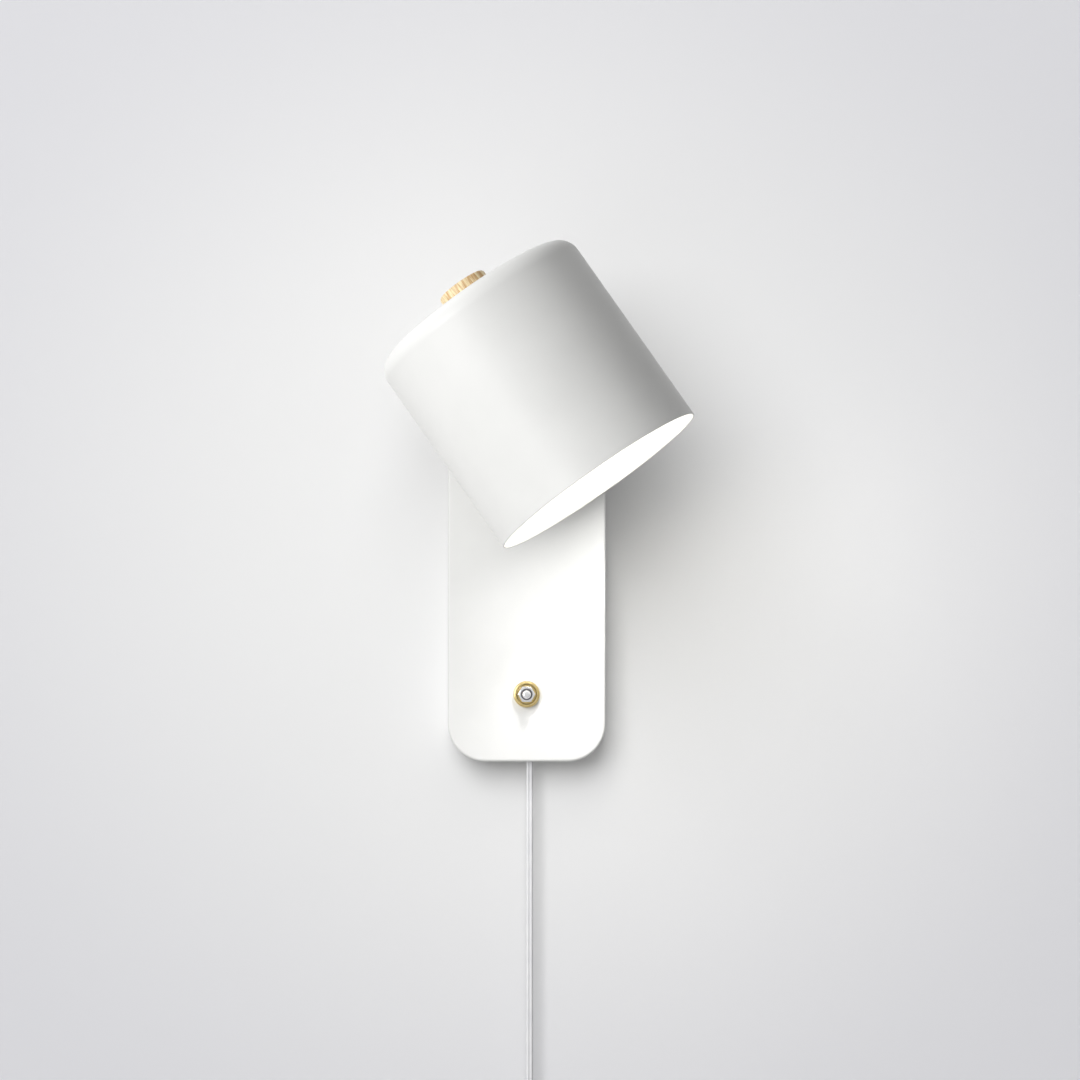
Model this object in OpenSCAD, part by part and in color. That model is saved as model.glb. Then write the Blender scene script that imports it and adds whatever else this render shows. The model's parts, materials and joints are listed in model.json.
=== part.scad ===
// Plug-in wall lamp: a tall plate on the wall, a drum shade on a turning and tilting joint, a push
// switch, and a flat twin cord with its plug. Millimetres. The wall is the plane y = 0, the lamp's
// front looks towards -Y, +Z is up, and the origin is the middle of the wall bracket's back.

/* [Pose] */
// Turn of the shade from straight down, mouth towards +X, in degrees
rest_pan = 35; // [-60:1:60]
// Tilt of the shade, mouth outwards, in degrees
rest_tilt = 6; // [-10:1:20]

/* [Cover] */
// Width of the cover
cover_w = 104; // [98:1:130]
// Height of the cover
cover_h = 295; // [280:1:340]
// Depth of the cover, from the wall to its front face
cover_d = 24; // [23:0.5:30]
// Radius of the cover's big corners
cover_corner = 25; // [12:1:36]
// Radius of the cover's front edge
cover_edge = 2; // [1.6:0.1:3]
// Thickness of the cover's sheet
cover_wall = 1.5; // [1:0.1:1.5]

/* [Wall bracket] */
// Width of the bracket's strip
bracket_w = 60; // [50:1:70]
// Distance from the bracket's ends to the cover's ends
bracket_inset = 10; // [8:0.5:12]
// Thickness of the bracket's sheet
bracket_t = 2; // [1.5:0.1:2.5]
// Distance between the two wall screw holes
wall_hole_span = 120; // [100:1:140]
// Diameter of the wall screw holes
wall_hole_d = 5; // [4:0.1:6]
// Distance between the upper and lower side tabs
tab_span = 120; // [100:1:140]
// Height of each side tab
tab_h = 18; // [12:1:24]
// Diameter of the set screws in the cover's sides
set_screw_d = 4; // [3:0.5:5]
// Length of the set screws
set_screw_len = 5.5; // [5:0.5:8]

/* [Swivel] */
// Distance from the cover's top to the turning axis
swivel_inset = 44.5; // [40:0.5:56]
// Diameter of the swivel base's flange
base_flange_d = 32; // [30:1:40]
// Thickness of the swivel base's flange
base_flange_t = 4; // [3.5:0.1:6]
// Diameter of the swivel base's threaded neck
base_neck_d = 16; // [14:0.5:17]
// Thickness of the toothed washer inside the cover
base_washer_t = 1; // [0.6:0.1:1.4]
// Width across the flats of the swivel nut
base_nut_af = 22; // [20:0.5:26]
// Thickness of the swivel nut
base_nut_t = 4; // [3:0.5:5]
// Length of the neck behind the swivel nut
neck_spare = 3; // [1:0.5:4]
// Diameter of the turning stem
stem_d = 10; // [8.5:0.1:10.5]
// Bore of the stem for the wires
stem_bore = 6.5; // [5:0.1:7]
// Thickness of the slide washer under the fork
thrust_washer_t = 0.6; // [0.4:0.1:1]
// Thickness of the spring washer behind the neck
spring_washer_t = 0.8; // [0.5:0.1:1]
// Thickness of the plain washer behind the spring washer
end_washer_t = 1; // [0.6:0.1:1.2]
// Thickness of the retaining clip
clip_t = 1; // [0.6:0.1:1.2]
// Turn each way from straight down to the stop, in degrees
pan_limit = 165; // [120:1:168]
// Diameter of the stop pin
stop_pin_d = 2.5; // [1.5:0.1:2.8]
// Distance of the stop pin from the turning axis
stop_pin_reach = 11.2; // [11:0.1:11.5]

/* [Tilt joint] */
// Distance of the tilting axis in front of the cover
pivot_reach = 20; // [20:0.5:26]
// Diameter of the fork's round hub
hub_d = 28; // [27:0.5:31]
// Thickness of the fork's hub
hub_t = 5.5; // [4.5:0.5:6]
// Radius of the fork's ears
ear_r = 8; // [7.6:0.1:9]
// Thickness of each ear
ear_t = 4; // [3:0.5:5]
// Thickness of the tongue between the ears
eye_t = 8; // [7:0.5:9]
// Radius of the tongue
eye_r = 7.5; // [6.5:0.1:7.6]
// Diameter of the tilting screw
tilt_screw_d = 5; // [4:0.5:5.5]
// Thickness of the slide washers beside the tongue
tilt_washer_t = 0.6; // [0.4:0.1:1]
// Diameter of the tongue's flange
eye_flange_d = 22; // [18:1:26]
// Thickness of the tongue's flange
eye_flange_t = 2.5; // [2:0.1:2.6]

/* [Shade] */
// Diameter of the shade
shade_d = 149; // [130:1:160]
// Length of the shade
shade_len = 142.5; // [140:0.5:160]
// Thickness of the shade's sheet
shade_wall = 0.8; // [0.6:0.1:1.2]
// Radius of the shade's top edge
shade_edge = 12; // [4:0.5:16]
// Distance from the tilting axis to the shade's outside
shade_standoff = 14; // [14:0.5:20]
// Height of the joint above the shade's mouth
joint_height = 91; // [86:0.5:94]
// Thickness of the saddle under the shade, at its middle
saddle_t = 2; // [1.5:0.1:2]
// Thickness of the plate inside the shade, at its middle
inner_plate_t = 2; // [1.5:0.1:3]
// Diameter of the hollow thread that carries the shade
shade_thread_d = 10; // [9:0.5:12]
// Width across the flats of the nuts on the hollow threads
shade_nut_af = 15; // [14:0.5:18]
// Thickness of the nuts on the hollow threads
shade_nut_t = 3; // [2.5:0.5:5]

/* [Wood cap] */
// Diameter of the wood cap
wood_cap_d = 34; // [28:1:44]
// Height of the wood cap
wood_cap_h = 13; // [11:0.5:18]
// Radius of the wood cap's edges
wood_cap_edge = 2.2; // [1:0.1:3]
// Diameter of the threaded insert in the wood cap
insert_d = 14; // [13:0.5:18]
// Length of the threaded insert
insert_len = 8; // [6:0.5:9]

/* [Lampholder] */
// Outer diameter of the lampholder
holder_d = 39; // [38:0.5:46]
// Wall of the lampholder
holder_wall = 2; // [1.5:0.1:2.2]
// Length of the lampholder's cap
holder_cap_len = 17; // [15:0.5:22]
// Length of the lampholder's skirt
holder_skirt_len = 36; // [32:0.5:38]
// Thickness of the lampholder's core
holder_core_t = 6; // [5:0.5:8]
// Length of the holder's hollow thread
nipple_len = 16; // [14.5:0.5:17.5]

/* [Bulb] */
// Diameter of the bulb's globe
globe_d = 60; // [50:1:70]
// Wall of the bulb's globe
globe_wall = 1.5; // [1:0.1:2]
// Diameter of the bulb's thread
bulb_thread_d = 26.4; // [26:0.1:26.6]
// Length of the bulb's thread
bulb_thread_len = 22.6; // [18:0.2:24]
// Length of the bulb's collar
bulb_collar_len = 18; // [14:0.5:24]
// Diameter of the collar where it meets the globe
bulb_collar_d = 38; // [34:0.5:44]

/* [Switch] */
// Distance from the cover's lower end to the switch's axis
switch_inset = 44.5; // [42:0.5:60]
// Diameter of the ring round the switch
ring_d = 17.4; // [15.6:0.1:20]
// Height of the ring
ring_h = 4.4; // [3.6:0.1:5]
// Diameter of the ring's hollow
ring_hollow_d = 13; // [12.4:0.1:14.4]
// Thickness of the ring's floor
ring_floor_t = 1.8; // [1.2:0.1:2.4]
// Diameter of the switch nut across its corners
switch_nut_d = 11.5; // [10.5:0.1:11.8]
// Thickness of the switch nut
switch_nut_t = 2.6; // [2:0.1:3]
// Diameter of the switch's threaded neck
bushing_d = 7; // [6.6:0.1:7.4]
// Height of the threaded neck above the cover
bushing_h = 7; // [6:0.1:8]
// Diameter of the button
button_d = 5.6; // [4.6:0.1:5.8]
// Height of the button above the neck
button_h = 5; // [4.5:0.1:7]
// Travel of the button
button_travel = 3.5; // [2:0.1:4]
// Width of the switch's case
switch_case_w = 14; // [12:0.5:18]
// Height of the switch's case
switch_case_h = 20; // [16:0.5:22]
// Length of the spring when the button is pressed home
spring_pressed = 5.5; // [4.5:0.1:6]

/* [Wires and clamp] */
// Diameter of the single wires
wire_d = 2.2; // [1.6:0.1:2.4]
// Diameter of the lamp lead
lead_d = 4.2; // [3:0.1:4.6]
// Width of the terminal block
block_w = 26; // [22:1:34]
// Height of the terminal block
block_h = 18; // [14:1:24]
// Depth of the terminal block
block_d = 12; // [10:0.5:14]
// Height of the terminal block's middle above the lamp's middle
block_z = 16; // [10:1:22]
// Distance from the cover's lower end to the middle of the cord clamp
clamp_inset = 21; // [19:0.5:22]
// Width of the cord clamp
clamp_w = 24; // [20:1:30]
// Height of the cord clamp, along the cord
clamp_h = 8; // [6:0.5:10]
// Thickness of the clamp's bridge
bridge_t = 3; // [2:0.5:4]
// Diameter of the small screws in the clamp and the block
small_screw_d = 3; // [2.5:0.1:3.5]

/* [Cord] */
// Width of the flat twin cord
cord_w = 4.4; // [4:0.1:4.6]
// Thickness of the flat twin cord
cord_t = 2.3; // [2:0.1:2.35]
// Outer radius of the coil, to the middle of the cord
coil_r = 31.5; // [30:0.5:34]
// Step from one turn of the coil to the next
coil_step = 2.75; // [2.75:0.05:2.9]
// Distance between the two layers of the coil
coil_layer = 5; // [5:0.1:6]

/* [Plug] */
// Width of the plug
plug_w = 35.3; // [34:0.1:38]
// Thickness of the plug
plug_t = 13.7; // [12:0.1:15]
// Length of the plug's body
plug_len = 32; // [30:0.5:36]
// Length of the tapered relief on the plug
plug_relief = 10; // [8:0.5:14]
// Distance between the two pins
pin_span = 18.6; // [17.5:0.1:19]
// Diameter of the pins
pin_d = 4; // [4:0.1:4.8]
// Length of the pins outside the plug
pin_len = 19; // [18:0.1:20]
// Length of the sleeves on the pins
sleeve_len = 10; // [8:0.1:11]

/* [Hidden] */
$fn = 96;

// Clearances: screws in their threads, shafts that turn, flat faces that slide, and loose fits.
thread_gap = 0.05;
running_gap = 0.05;
face_gap = 0.05;
loose_gap = 0.3;
// What a cut reaches past the face that it opens.
past = 1;

cover_front = cover_d;
cover_inside = cover_d - cover_wall;
swivel_z = cover_h / 2 - swivel_inset;
switch_z = switch_inset - cover_h / 2;
clamp_z = clamp_inset - cover_h / 2;
pivot_front = cover_front + pivot_reach;
shade_r = shade_d / 2;
shade_reach = shade_standoff + shade_r;
shade_top_in = shade_len - shade_wall;

// Stack along the turning axis, as distances in front of the wall.
flange_front = cover_front + base_flange_t;
neck_back = cover_inside - base_washer_t - base_nut_t - neck_spare;
hub_back = flange_front + thrust_washer_t + 2 * face_gap;
hub_front = hub_back + hub_t;
spring_washer_front = neck_back - face_gap;
end_washer_front = spring_washer_front - spring_washer_t;
clip_front = end_washer_front - end_washer_t;
stem_back = clip_front - clip_t - 1.2;
clip_groove = 0.6;

// Stop groove in the flange and the lug that is left in it.
groove_half = stop_pin_d / 2 + loose_gap;
groove_depth = 2.5;
pin_half_angle = asin(stop_pin_d / 2 / stop_pin_reach);
groove_sweep = 2 * (pan_limit + pin_half_angle + 0.8);

// Stack across the tilting joint, from its middle outwards.
ear_in = eye_t / 2 + tilt_washer_t + 2 * face_gap;
ear_out = ear_in + ear_t;
outer_washer_t = 0.8;
tilt_head_t = 3.2;
tilt_nut_t = 4;

// Stack from the tilting axis to the inside of the shade.
eye_flange_front = shade_standoff - saddle_t;
inner_plate_front = shade_standoff + shade_wall + inner_plate_t;
shade_thread_end = inner_plate_front + shade_nut_t + 1;

// Heights above the shade's mouth, along the shade's axis.
holder_top = shade_top_in - shade_nut_t;
holder_cap_bottom = holder_top - holder_cap_len;
holder_mouth = holder_cap_bottom - holder_skirt_len;
core_bottom = holder_cap_bottom - holder_core_t;
holder_r = holder_d / 2;
contact_t = 1.1;
tip_top = core_bottom - contact_t - loose_gap;
tip_t = 1.5;
insulator_t = 2.5;
bulb_thread_top = tip_top - tip_t - insulator_t;
bulb_thread_bottom = bulb_thread_top - bulb_thread_len;
collar_bottom = bulb_thread_bottom - bulb_collar_len;
globe_r = globe_d / 2;
globe_centre = collar_bottom - sqrt(globe_r * globe_r - bulb_collar_d * bulb_collar_d / 4);
nipple_top = shade_len + insert_len - 0.5;
lead_inlet = holder_cap_bottom + 6;

// The switch, as distances in front of the wall.
ring_floor = cover_front + ring_floor_t;
bushing_front = cover_front + bushing_h;
button_front = bushing_front + button_h;
chamber_r = bushing_d / 2 + 0.2;
shoulder_t = 1;
shoulder_front = cover_inside - loose_gap;
shoulder_back = shoulder_front - shoulder_t;
chamber_back = shoulder_back - button_travel - spring_pressed;
case_back = chamber_back - 1.5;
tag_len = 4;

// Where the cord leaves the cover, and how it runs: x, y, z and the turn of its flat side.
cord_x = 2;
cord_y = -12;
cord_route = [
    [2, -12, -147.5, 0], [2, -12, -160, 0], [2, -12, -175, 0], [2, -12, -190, 0],
    [2, -12, -205, 0], [2, -12, -220, 0], [2, -12, -235, 0], [2, -12, -250, 0],
    [2, -12, -265, 0], [2, -12, -280, 0], [2, -12, -295, 0], [2, -12, -310, 0],
    [2, -12, -325, 0], [2, -12, -340, 0], [2, -12, -352, 0], [2, -12, -362, 0],
    [2, -11.7, -368, 20], [2, -11.3, -374, 42], [2, -11, -380, 65], [2, -10.6, -386, 84],
    [2, -10.3, -391.5, 90], [1.4, -10, -396.7, 90], [-0.5, -9.8, -401.5, 90],
    [-3.6, -9.6, -405.6, 90], [-7.6, -9.5, -408.9, 90], [-11, -9.5, -411, 90],
];
tail_route = [
    [-11, -14.5, -469, 90], [-7.6, -14.5, -471.1, 90], [-3.6, -14.4, -474.4, 90],
    [-0.5, -14.2, -478.5, 90], [1.4, -14, -483.3, 90], [2, -13.6, -488.5, 90],
    [2, -13.2, -493.5, 75], [2, -12.7, -498.5, 50], [2, -12.3, -503.5, 22], [2, -12, -508.5, 0],
    [2, -12, -514, 0],
];
lobe_x = (cord_w - cord_t) / 2;
cord_section = [
    [cord_w / 2, 0], [lobe_x, cord_t / 2], [0, cord_t * 0.38], [-lobe_x, cord_t / 2],
    [-cord_w / 2, 0], [-lobe_x, -cord_t / 2], [0, -cord_t * 0.38], [lobe_x, -cord_t / 2],
];
coil_section = [
    [cord_w / 2, 0], [lobe_x, cord_t / 2], [-lobe_x, cord_t / 2],
    [-cord_w / 2, 0], [-lobe_x, -cord_t / 2], [lobe_x, -cord_t / 2],
];

// The coil: two layers that spiral in and out again round a centre below the lamp.
coil_centre = [2, -12, -440];
coil_start = 122;
coil_turns = 9 + 116 / 360;
rings_per_loop = 24;
coil_last = round(coil_turns * rings_per_loop);

plug_top = -514;
plug_face = plug_top - plug_relief - plug_len;
pin_root = 9;

// Points of an arc from angle a to angle b.
function arc(centre, r, a, b, n = 8) =
    [for (i = [0:n]) let (t = a + (b - a) * i / n) [centre.x + r * cos(t), centre.y + r * sin(t)]];

function unit(v) = v / norm(v);

// A closed skin over rings of equal length, with both ends capped.
module skin(rings) {
    n = len(rings[0]);
    last = len(rings) - 1;
    sides = [
        for (i = [0:last - 1]) for (j = [0:n - 1])
            let (a = i * n + j, b = i * n + (j + 1) % n)
            each [[a, b + n, b], [a, a + n, b + n]]
    ];
    polyhedron(
        points = [for (r = rings) each r],
        faces = concat(
            sides,
            [[for (j = [0:n - 1]) j]],
            [[for (j = [n - 1:-1:0]) last * n + j]]
        ),
        convexity = 8
    );
}

// Rings of a section carried along a path. The fourth value of a point turns the section.
function path_rings(path, section, ref) = [
    for (i = [0:len(path) - 1])
        let (
            p = [path[i].x, path[i].y, path[i].z],
            q0 = path[max(i - 1, 0)],
            q1 = path[min(i + 1, len(path) - 1)],
            t = unit([q1.x - q0.x, q1.y - q0.y, q1.z - q0.z]),
            u = unit(cross(ref, t)),
            v = cross(t, u),
            a = len(path[i]) > 3 ? path[i][3] : 0
        )
        [for (s = section)
            p + (s.x * cos(a) - s.y * sin(a)) * u + (s.x * sin(a) + s.y * cos(a)) * v]
];

function round_section(d, sides = 8) =
    [for (i = [0:sides - 1]) d / 2 * [cos(360 * i / sides), sin(360 * i / sides)]];

module wire(path, d, ref) {
    skin(path_rings(path, round_section(d), ref));
}

// Places. Local +Z is the distance in front of the wall, local +Y is up.
module facing(x, z) {
    translate([x, 0, z]) rotate([90, 0, 0]) children();
}

module in_fork() {
    translate([0, 0, swivel_z]) rotate([0, -rest_pan, 0]) rotate([90, 0, 0]) children();
}

// At the tilting axis, local -Y points to the shade, +Z away from its mouth and X along the axis.
module in_tilt() {
    translate([0, 0, swivel_z]) rotate([0, -rest_pan, 0])
        translate([0, -pivot_front, 0]) rotate([-rest_tilt, 0, 0]) children();
}

// On the shade's axis, local +Z is the height above the mouth.
module in_shade() {
    in_tilt() translate([0, -shade_reach, -joint_height]) children();
}

module tube(r_out, r_in, z0, z1) {
    translate([0, 0, z0]) difference() {
        cylinder(r = r_out, h = z1 - z0);
        translate([0, 0, -past]) cylinder(r = r_in, h = z1 - z0 + 2 * past);
    }
}

module hex_nut(af, r_in, z0, z1) {
    translate([0, 0, z0]) difference() {
        cylinder(r = af / 2 / cos(30), h = z1 - z0, $fn = 6);
        translate([0, 0, -past]) cylinder(r = r_in, h = z1 - z0 + 2 * past);
    }
}

// A cylinder along local X.
module rod_x(r, x0, x1) {
    translate([x0, 0, 0]) rotate([0, 90, 0]) cylinder(r = r, h = x1 - x0);
}

// A ring of the cover's outline, inset from its sides, at a distance in front of the wall.
function cover_ring(inset, front) =
    let (w = cover_w / 2 - inset, h = cover_h / 2 - inset, r = cover_corner - inset)
    [for (c = [0:3]) for (p = arc([0, 0], r, 90 * c, 90 * c + 90, 12))
        let (sx = c == 0 || c == 3 ? 1 : -1, sz = c < 2 ? 1 : -1)
        [sx * (w - r) + p.x, -front, sz * (h - r) + p.y]];

function edge_rings(r, a, b) =
    [for (p = arc([cover_edge, cover_d - cover_edge], r, a, b, 5)) cover_ring(p.x, p.y)];

module set_screw_places() {
    for (side = [-1, 1]) for (z = [-tab_span / 2, tab_span / 2])
        translate([0, -cover_d / 2, z]) scale([side, 1, 1]) children();
}

module cord_outline(grow) {
    for (x = [-lobe_x, lobe_x]) translate([x, 0]) circle(r = cord_t / 2 + grow);
    square([2 * lobe_x, cord_t * 0.76 + 2 * grow], center = true);
}

grommet_t = cover_wall + 1.6;
grommet_grow = 1.2;

module cover() color("white") difference() {
    skin(concat(
        edge_rings(cover_edge, 90, 180),
        [cover_ring(0, 0), cover_ring(cover_wall, 0)],
        edge_rings(cover_edge - cover_wall, 180, 90)
    ));
    facing(0, swivel_z) cylinder(r = base_neck_d / 2 + loose_gap, h = cover_d + past);
    facing(0, switch_z) cylinder(r = bushing_d / 2 + 0.2, h = cover_d + past);
    for (z = [-tab_span / 2, tab_span / 2])
        translate([0, -cover_d / 2, z])
            rod_x(set_screw_d / 2 + 0.2, -cover_w / 2 - past, cover_w / 2 + past);
    translate([cord_x, cord_y, -cover_h / 2 - past])
        linear_extrude(cover_wall + 2 * past) cord_outline(grommet_grow);
}

module wall_bracket() color("silver") {
    strip_h = cover_h - 2 * bracket_inset;
    tab_x = cover_w / 2 - cover_wall - loose_gap;
    tab_front = cover_d / 2 + set_screw_d;
    difference() {
        union() {
            translate([-bracket_w / 2, -bracket_t, -strip_h / 2])
                cube([bracket_w, bracket_t, strip_h]);
            for (side = [-1, 1]) for (z = [-tab_span / 2, tab_span / 2])
                translate([side * tab_x / 2, -bracket_t / 2, z])
                    cube([tab_x, bracket_t, tab_h], center = true);
            for (side = [-1, 1]) for (z = [-tab_span / 2, tab_span / 2])
                translate([side * (tab_x - bracket_t / 2), -tab_front / 2, z])
                    cube([bracket_t, tab_front, tab_h], center = true);
        }
        for (z = [-tab_span / 2, tab_span / 2])
            translate([0, -cover_d / 2, z])
                rod_x(set_screw_d / 2 + thread_gap, -cover_w / 2, cover_w / 2);
        for (z = [-wall_hole_span / 2, wall_hole_span / 2])
            facing(0, z) translate([0, 0, -past])
                cylinder(r = wall_hole_d / 2, h = bracket_t + 2 * past);
        facing(0, block_z) translate([0, 0, -past])
            cylinder(r = small_screw_d / 2 + thread_gap, h = bracket_t + 2 * past);
        for (x = clamp_screw_x) facing(x, clamp_z) translate([0, 0, -past])
            cylinder(r = small_screw_d / 2 + thread_gap, h = bracket_t + 2 * past);
    }
}

module cover_screws() color("dimgray") {
    outer = cover_w / 2 - loose_gap;
    socket = set_screw_d * 0.3;
    set_screw_places() difference() {
        rod_x(set_screw_d / 2, outer - set_screw_len, outer);
        translate([outer - set_screw_len / 2, 0, 0]) rotate([0, 90, 0])
            cylinder(r = socket, h = set_screw_len, $fn = 6);
    }
}

module swivel_base() color("gainsboro") facing(0, swivel_z) difference() {
    union() {
        tube(base_flange_d / 2, stem_d / 2 + running_gap, cover_front, flange_front);
        tube(base_neck_d / 2, stem_d / 2 + running_gap, neck_back, cover_front);
    }
    translate([0, 0, flange_front - groove_depth])
        rotate_extrude(angle = groove_sweep, start = -90 - groove_sweep / 2)
            translate([stop_pin_reach - groove_half, 0])
                square([2 * groove_half, groove_depth + past]);
}

module swivel_washer() color("silver") facing(0, swivel_z)
    tube(base_nut_af / 2 + 1, base_neck_d / 2 + 0.2, cover_inside - base_washer_t, cover_inside);

module swivel_nut() color("silver") facing(0, swivel_z)
    hex_nut(base_nut_af, base_neck_d / 2 + thread_gap,
        cover_inside - base_washer_t - base_nut_t, cover_inside - base_washer_t);

module swivel_slide_washer() color("ivory") facing(0, swivel_z)
    tube(stop_pin_reach - groove_half - loose_gap, stem_d / 2 + 0.1,
        flange_front + face_gap, flange_front + face_gap + thrust_washer_t);

module swivel_spring_washer() color("gray") facing(0, swivel_z)
    tube(stem_d / 2 + 3, stem_d / 2 + 0.1, end_washer_front, spring_washer_front);

module swivel_end_washer() color("silver") facing(0, swivel_z)
    tube(stem_d / 2 + 3.5, stem_d / 2 + 0.1, clip_front, end_washer_front);

module swivel_clip() color("dimgray") facing(0, swivel_z) difference() {
    tube(stem_d / 2 + 1.8, stem_d / 2 - clip_groove + thread_gap, clip_front - clip_t, clip_front);
    translate([-1.5, 0, clip_front - clip_t - past]) cube([3, stem_d, clip_t + 2 * past]);
}

// The pin hangs from the hub, straight below the axis when the shade hangs straight down.
module stop_pin_place() {
    translate([0, -stop_pin_reach, 0]) children();
}

stop_pin_front = hub_back + 3.5;

module swivel_stop_pin() color("silver") in_fork() stop_pin_place()
    translate([0, 0, flange_front - groove_depth + loose_gap])
        cylinder(r = stop_pin_d / 2, h = stop_pin_front - flange_front + groove_depth - loose_gap);

module swivel_fork() color("gainsboro") in_fork() difference() {
    union() {
        translate([0, 0, hub_back]) cylinder(r = hub_d / 2, h = hub_t);
        translate([0, 0, stem_back]) cylinder(r = stem_d / 2, h = hub_back - stem_back + past);
        for (x = [-ear_out, ear_in]) translate([x, 0, 0]) rotate([90, 0, 90])
            linear_extrude(ear_t) {
                translate([0, pivot_front]) circle(r = ear_r);
                translate([-ear_r * 0.9, hub_front - past])
                    square([ear_r * 1.8, pivot_front - hub_front + past]);
            }
    }
    translate([0, 0, stem_back - past])
        cylinder(r = stem_bore / 2, h = hub_front - stem_back + 2 * past);
    tube(stem_d / 2 + past, stem_d / 2 - clip_groove,
        clip_front - clip_t - face_gap, clip_front + face_gap);
    translate([0, 0, pivot_front])
        rod_x(tilt_screw_d / 2 + thread_gap, -ear_out - past, ear_out + past);
    stop_pin_place() translate([0, 0, hub_back - past])
        cylinder(r = stop_pin_d / 2 + thread_gap, h = stop_pin_front - hub_back + past);
}

module tilt_screw() color("silver") in_fork() translate([0, 0, pivot_front]) difference() {
    union() {
        rod_x(tilt_screw_d / 2, -ear_out - outer_washer_t, ear_out + outer_washer_t + tilt_nut_t);
        rod_x(tilt_screw_d * 0.85, -ear_out - outer_washer_t - tilt_head_t, -ear_out - outer_washer_t);
    }
    translate([-ear_out - outer_washer_t - tilt_head_t - past, 0, 0]) rotate([0, 90, 0])
        cylinder(r = tilt_screw_d * 0.34, h = past + 2, $fn = 6);
}

module tilt_nut() color("silver") in_fork() translate([ear_out + outer_washer_t, 0, pivot_front])
    rotate([0, 90, 0]) hex_nut(tilt_screw_d * 1.6, tilt_screw_d / 2 + thread_gap, 0, tilt_nut_t);

module tilt_washers() color("ivory") in_fork() translate([0, 0, pivot_front]) rotate([0, 90, 0])
    for (side = [-1, 1]) scale([1, 1, side]) {
        tube(tilt_screw_d, tilt_screw_d / 2 + thread_gap,
            eye_t / 2 + face_gap, eye_t / 2 + face_gap + tilt_washer_t);
        tube(tilt_screw_d, tilt_screw_d / 2 + thread_gap, ear_out, ear_out + outer_washer_t);
    }

module tilt_eye() color("gainsboro") in_tilt() difference() {
    union() {
        rod_x(eye_r, -eye_t / 2, eye_t / 2);
        rotate([90, 0, 0]) {
            cylinder(r = eye_t / 2 - 0.1, h = eye_flange_front - eye_flange_t + 0.5);
            translate([0, 0, eye_flange_front - eye_flange_t])
                cylinder(r = eye_flange_d / 2, h = eye_flange_t);
            translate([0, 0, eye_flange_front])
                cylinder(r = shade_thread_d / 2, h = shade_thread_end - eye_flange_front);
        }
    }
    rod_x(tilt_screw_d / 2 + running_gap, -eye_t, eye_t);
    // Bore for the wires, and the slot that leads it round the screw.
    rotate([90, 0, 0]) translate([0, 0, eye_r + 0.5])
        cylinder(r = lead_d / 2 + 0.4, h = shade_thread_end);
    translate([-lead_d / 2 - 0.1, 0, 0]) rotate([90, 0, 90]) linear_extrude(lead_d + 0.2)
        polygon([
            [eye_r + past, tilt_screw_d / 2 + 1.2], [eye_r + past, eye_r + past],
            [-eye_r - 0.4, eye_r + past], [-eye_r - 0.6, -1], [-tilt_screw_d, tilt_screw_d / 2 + 1.2],
        ]);
}

// Room for the hollow thread in the shade's wall and the plates on it.
module shade_thread_hole(grow) {
    rotate([90, 0, 0]) cylinder(r = shade_thread_d / 2 + grow, h = shade_reach);
}

module shade_saddle() color("gainsboro") in_tilt() difference() {
    rotate([90, 0, 0]) translate([0, 0, eye_flange_front])
        cylinder(r = eye_flange_d / 2, h = saddle_t + 2);
    translate([0, -shade_reach, -shade_len / 2])
        cylinder(r = shade_r + face_gap, h = shade_len, $fn = 720);
    shade_thread_hole(loose_gap);
}

module shade_inner_plate() color("silver") in_tilt() difference() {
    intersection() {
        rotate([90, 0, 0]) translate([0, 0, shade_standoff])
            cylinder(r = eye_flange_d / 2, h = inner_plate_front - shade_standoff);
        translate([0, -shade_reach, -shade_len / 2])
            cylinder(r = shade_r - shade_wall - face_gap, h = shade_len, $fn = 720);
    }
    shade_thread_hole(loose_gap);
}

module shade_nut() color("silver") in_tilt() rotate([90, 0, 0])
    hex_nut(shade_nut_af, shade_thread_d / 2 + thread_gap,
        inner_plate_front, inner_plate_front + shade_nut_t);

module shade() color("white") difference() {
    in_shade() rotate_extrude() polygon(concat(
        [[shade_r - shade_wall, 0], [shade_r, 0]],
        arc([shade_r - shade_edge, shade_len - shade_edge], shade_edge, 0, 90, 10),
        [[0, shade_len], [0, shade_top_in]],
        arc([shade_r - shade_edge, shade_len - shade_edge], shade_edge - shade_wall, 90, 0, 10)
    ));
    in_tilt() shade_thread_hole(loose_gap);
    in_shade() translate([0, 0, shade_len / 2])
        cylinder(r = shade_thread_d / 2 + loose_gap, h = shade_len);
}

module wood_cap() color("burlywood") in_shade() translate([0, 0, shade_len]) difference() {
    rotate_extrude() polygon(concat(
        [[0, 0]],
        arc([wood_cap_d / 2 - 1, 1], 1, -90, 0, 4),
        arc([wood_cap_d / 2 - wood_cap_edge, wood_cap_h - wood_cap_edge], wood_cap_edge, 0, 90, 8),
        [[0, wood_cap_h]]
    ));
    translate([0, 0, -past]) cylinder(r = insert_d / 2 + thread_gap, h = insert_len + past);
}

module cap_insert() color("gold") in_shade()
    tube(insert_d / 2, shade_thread_d / 2 + thread_gap, shade_len, shade_len + insert_len);

module holder_nipple() color("silver") in_shade()
    tube(shade_thread_d / 2, shade_thread_d / 2 - 1.6, nipple_top - nipple_len, nipple_top);

module holder_nut() color("silver") in_shade()
    hex_nut(shade_nut_af, shade_thread_d / 2 + thread_gap, holder_top, shade_top_in);

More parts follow.
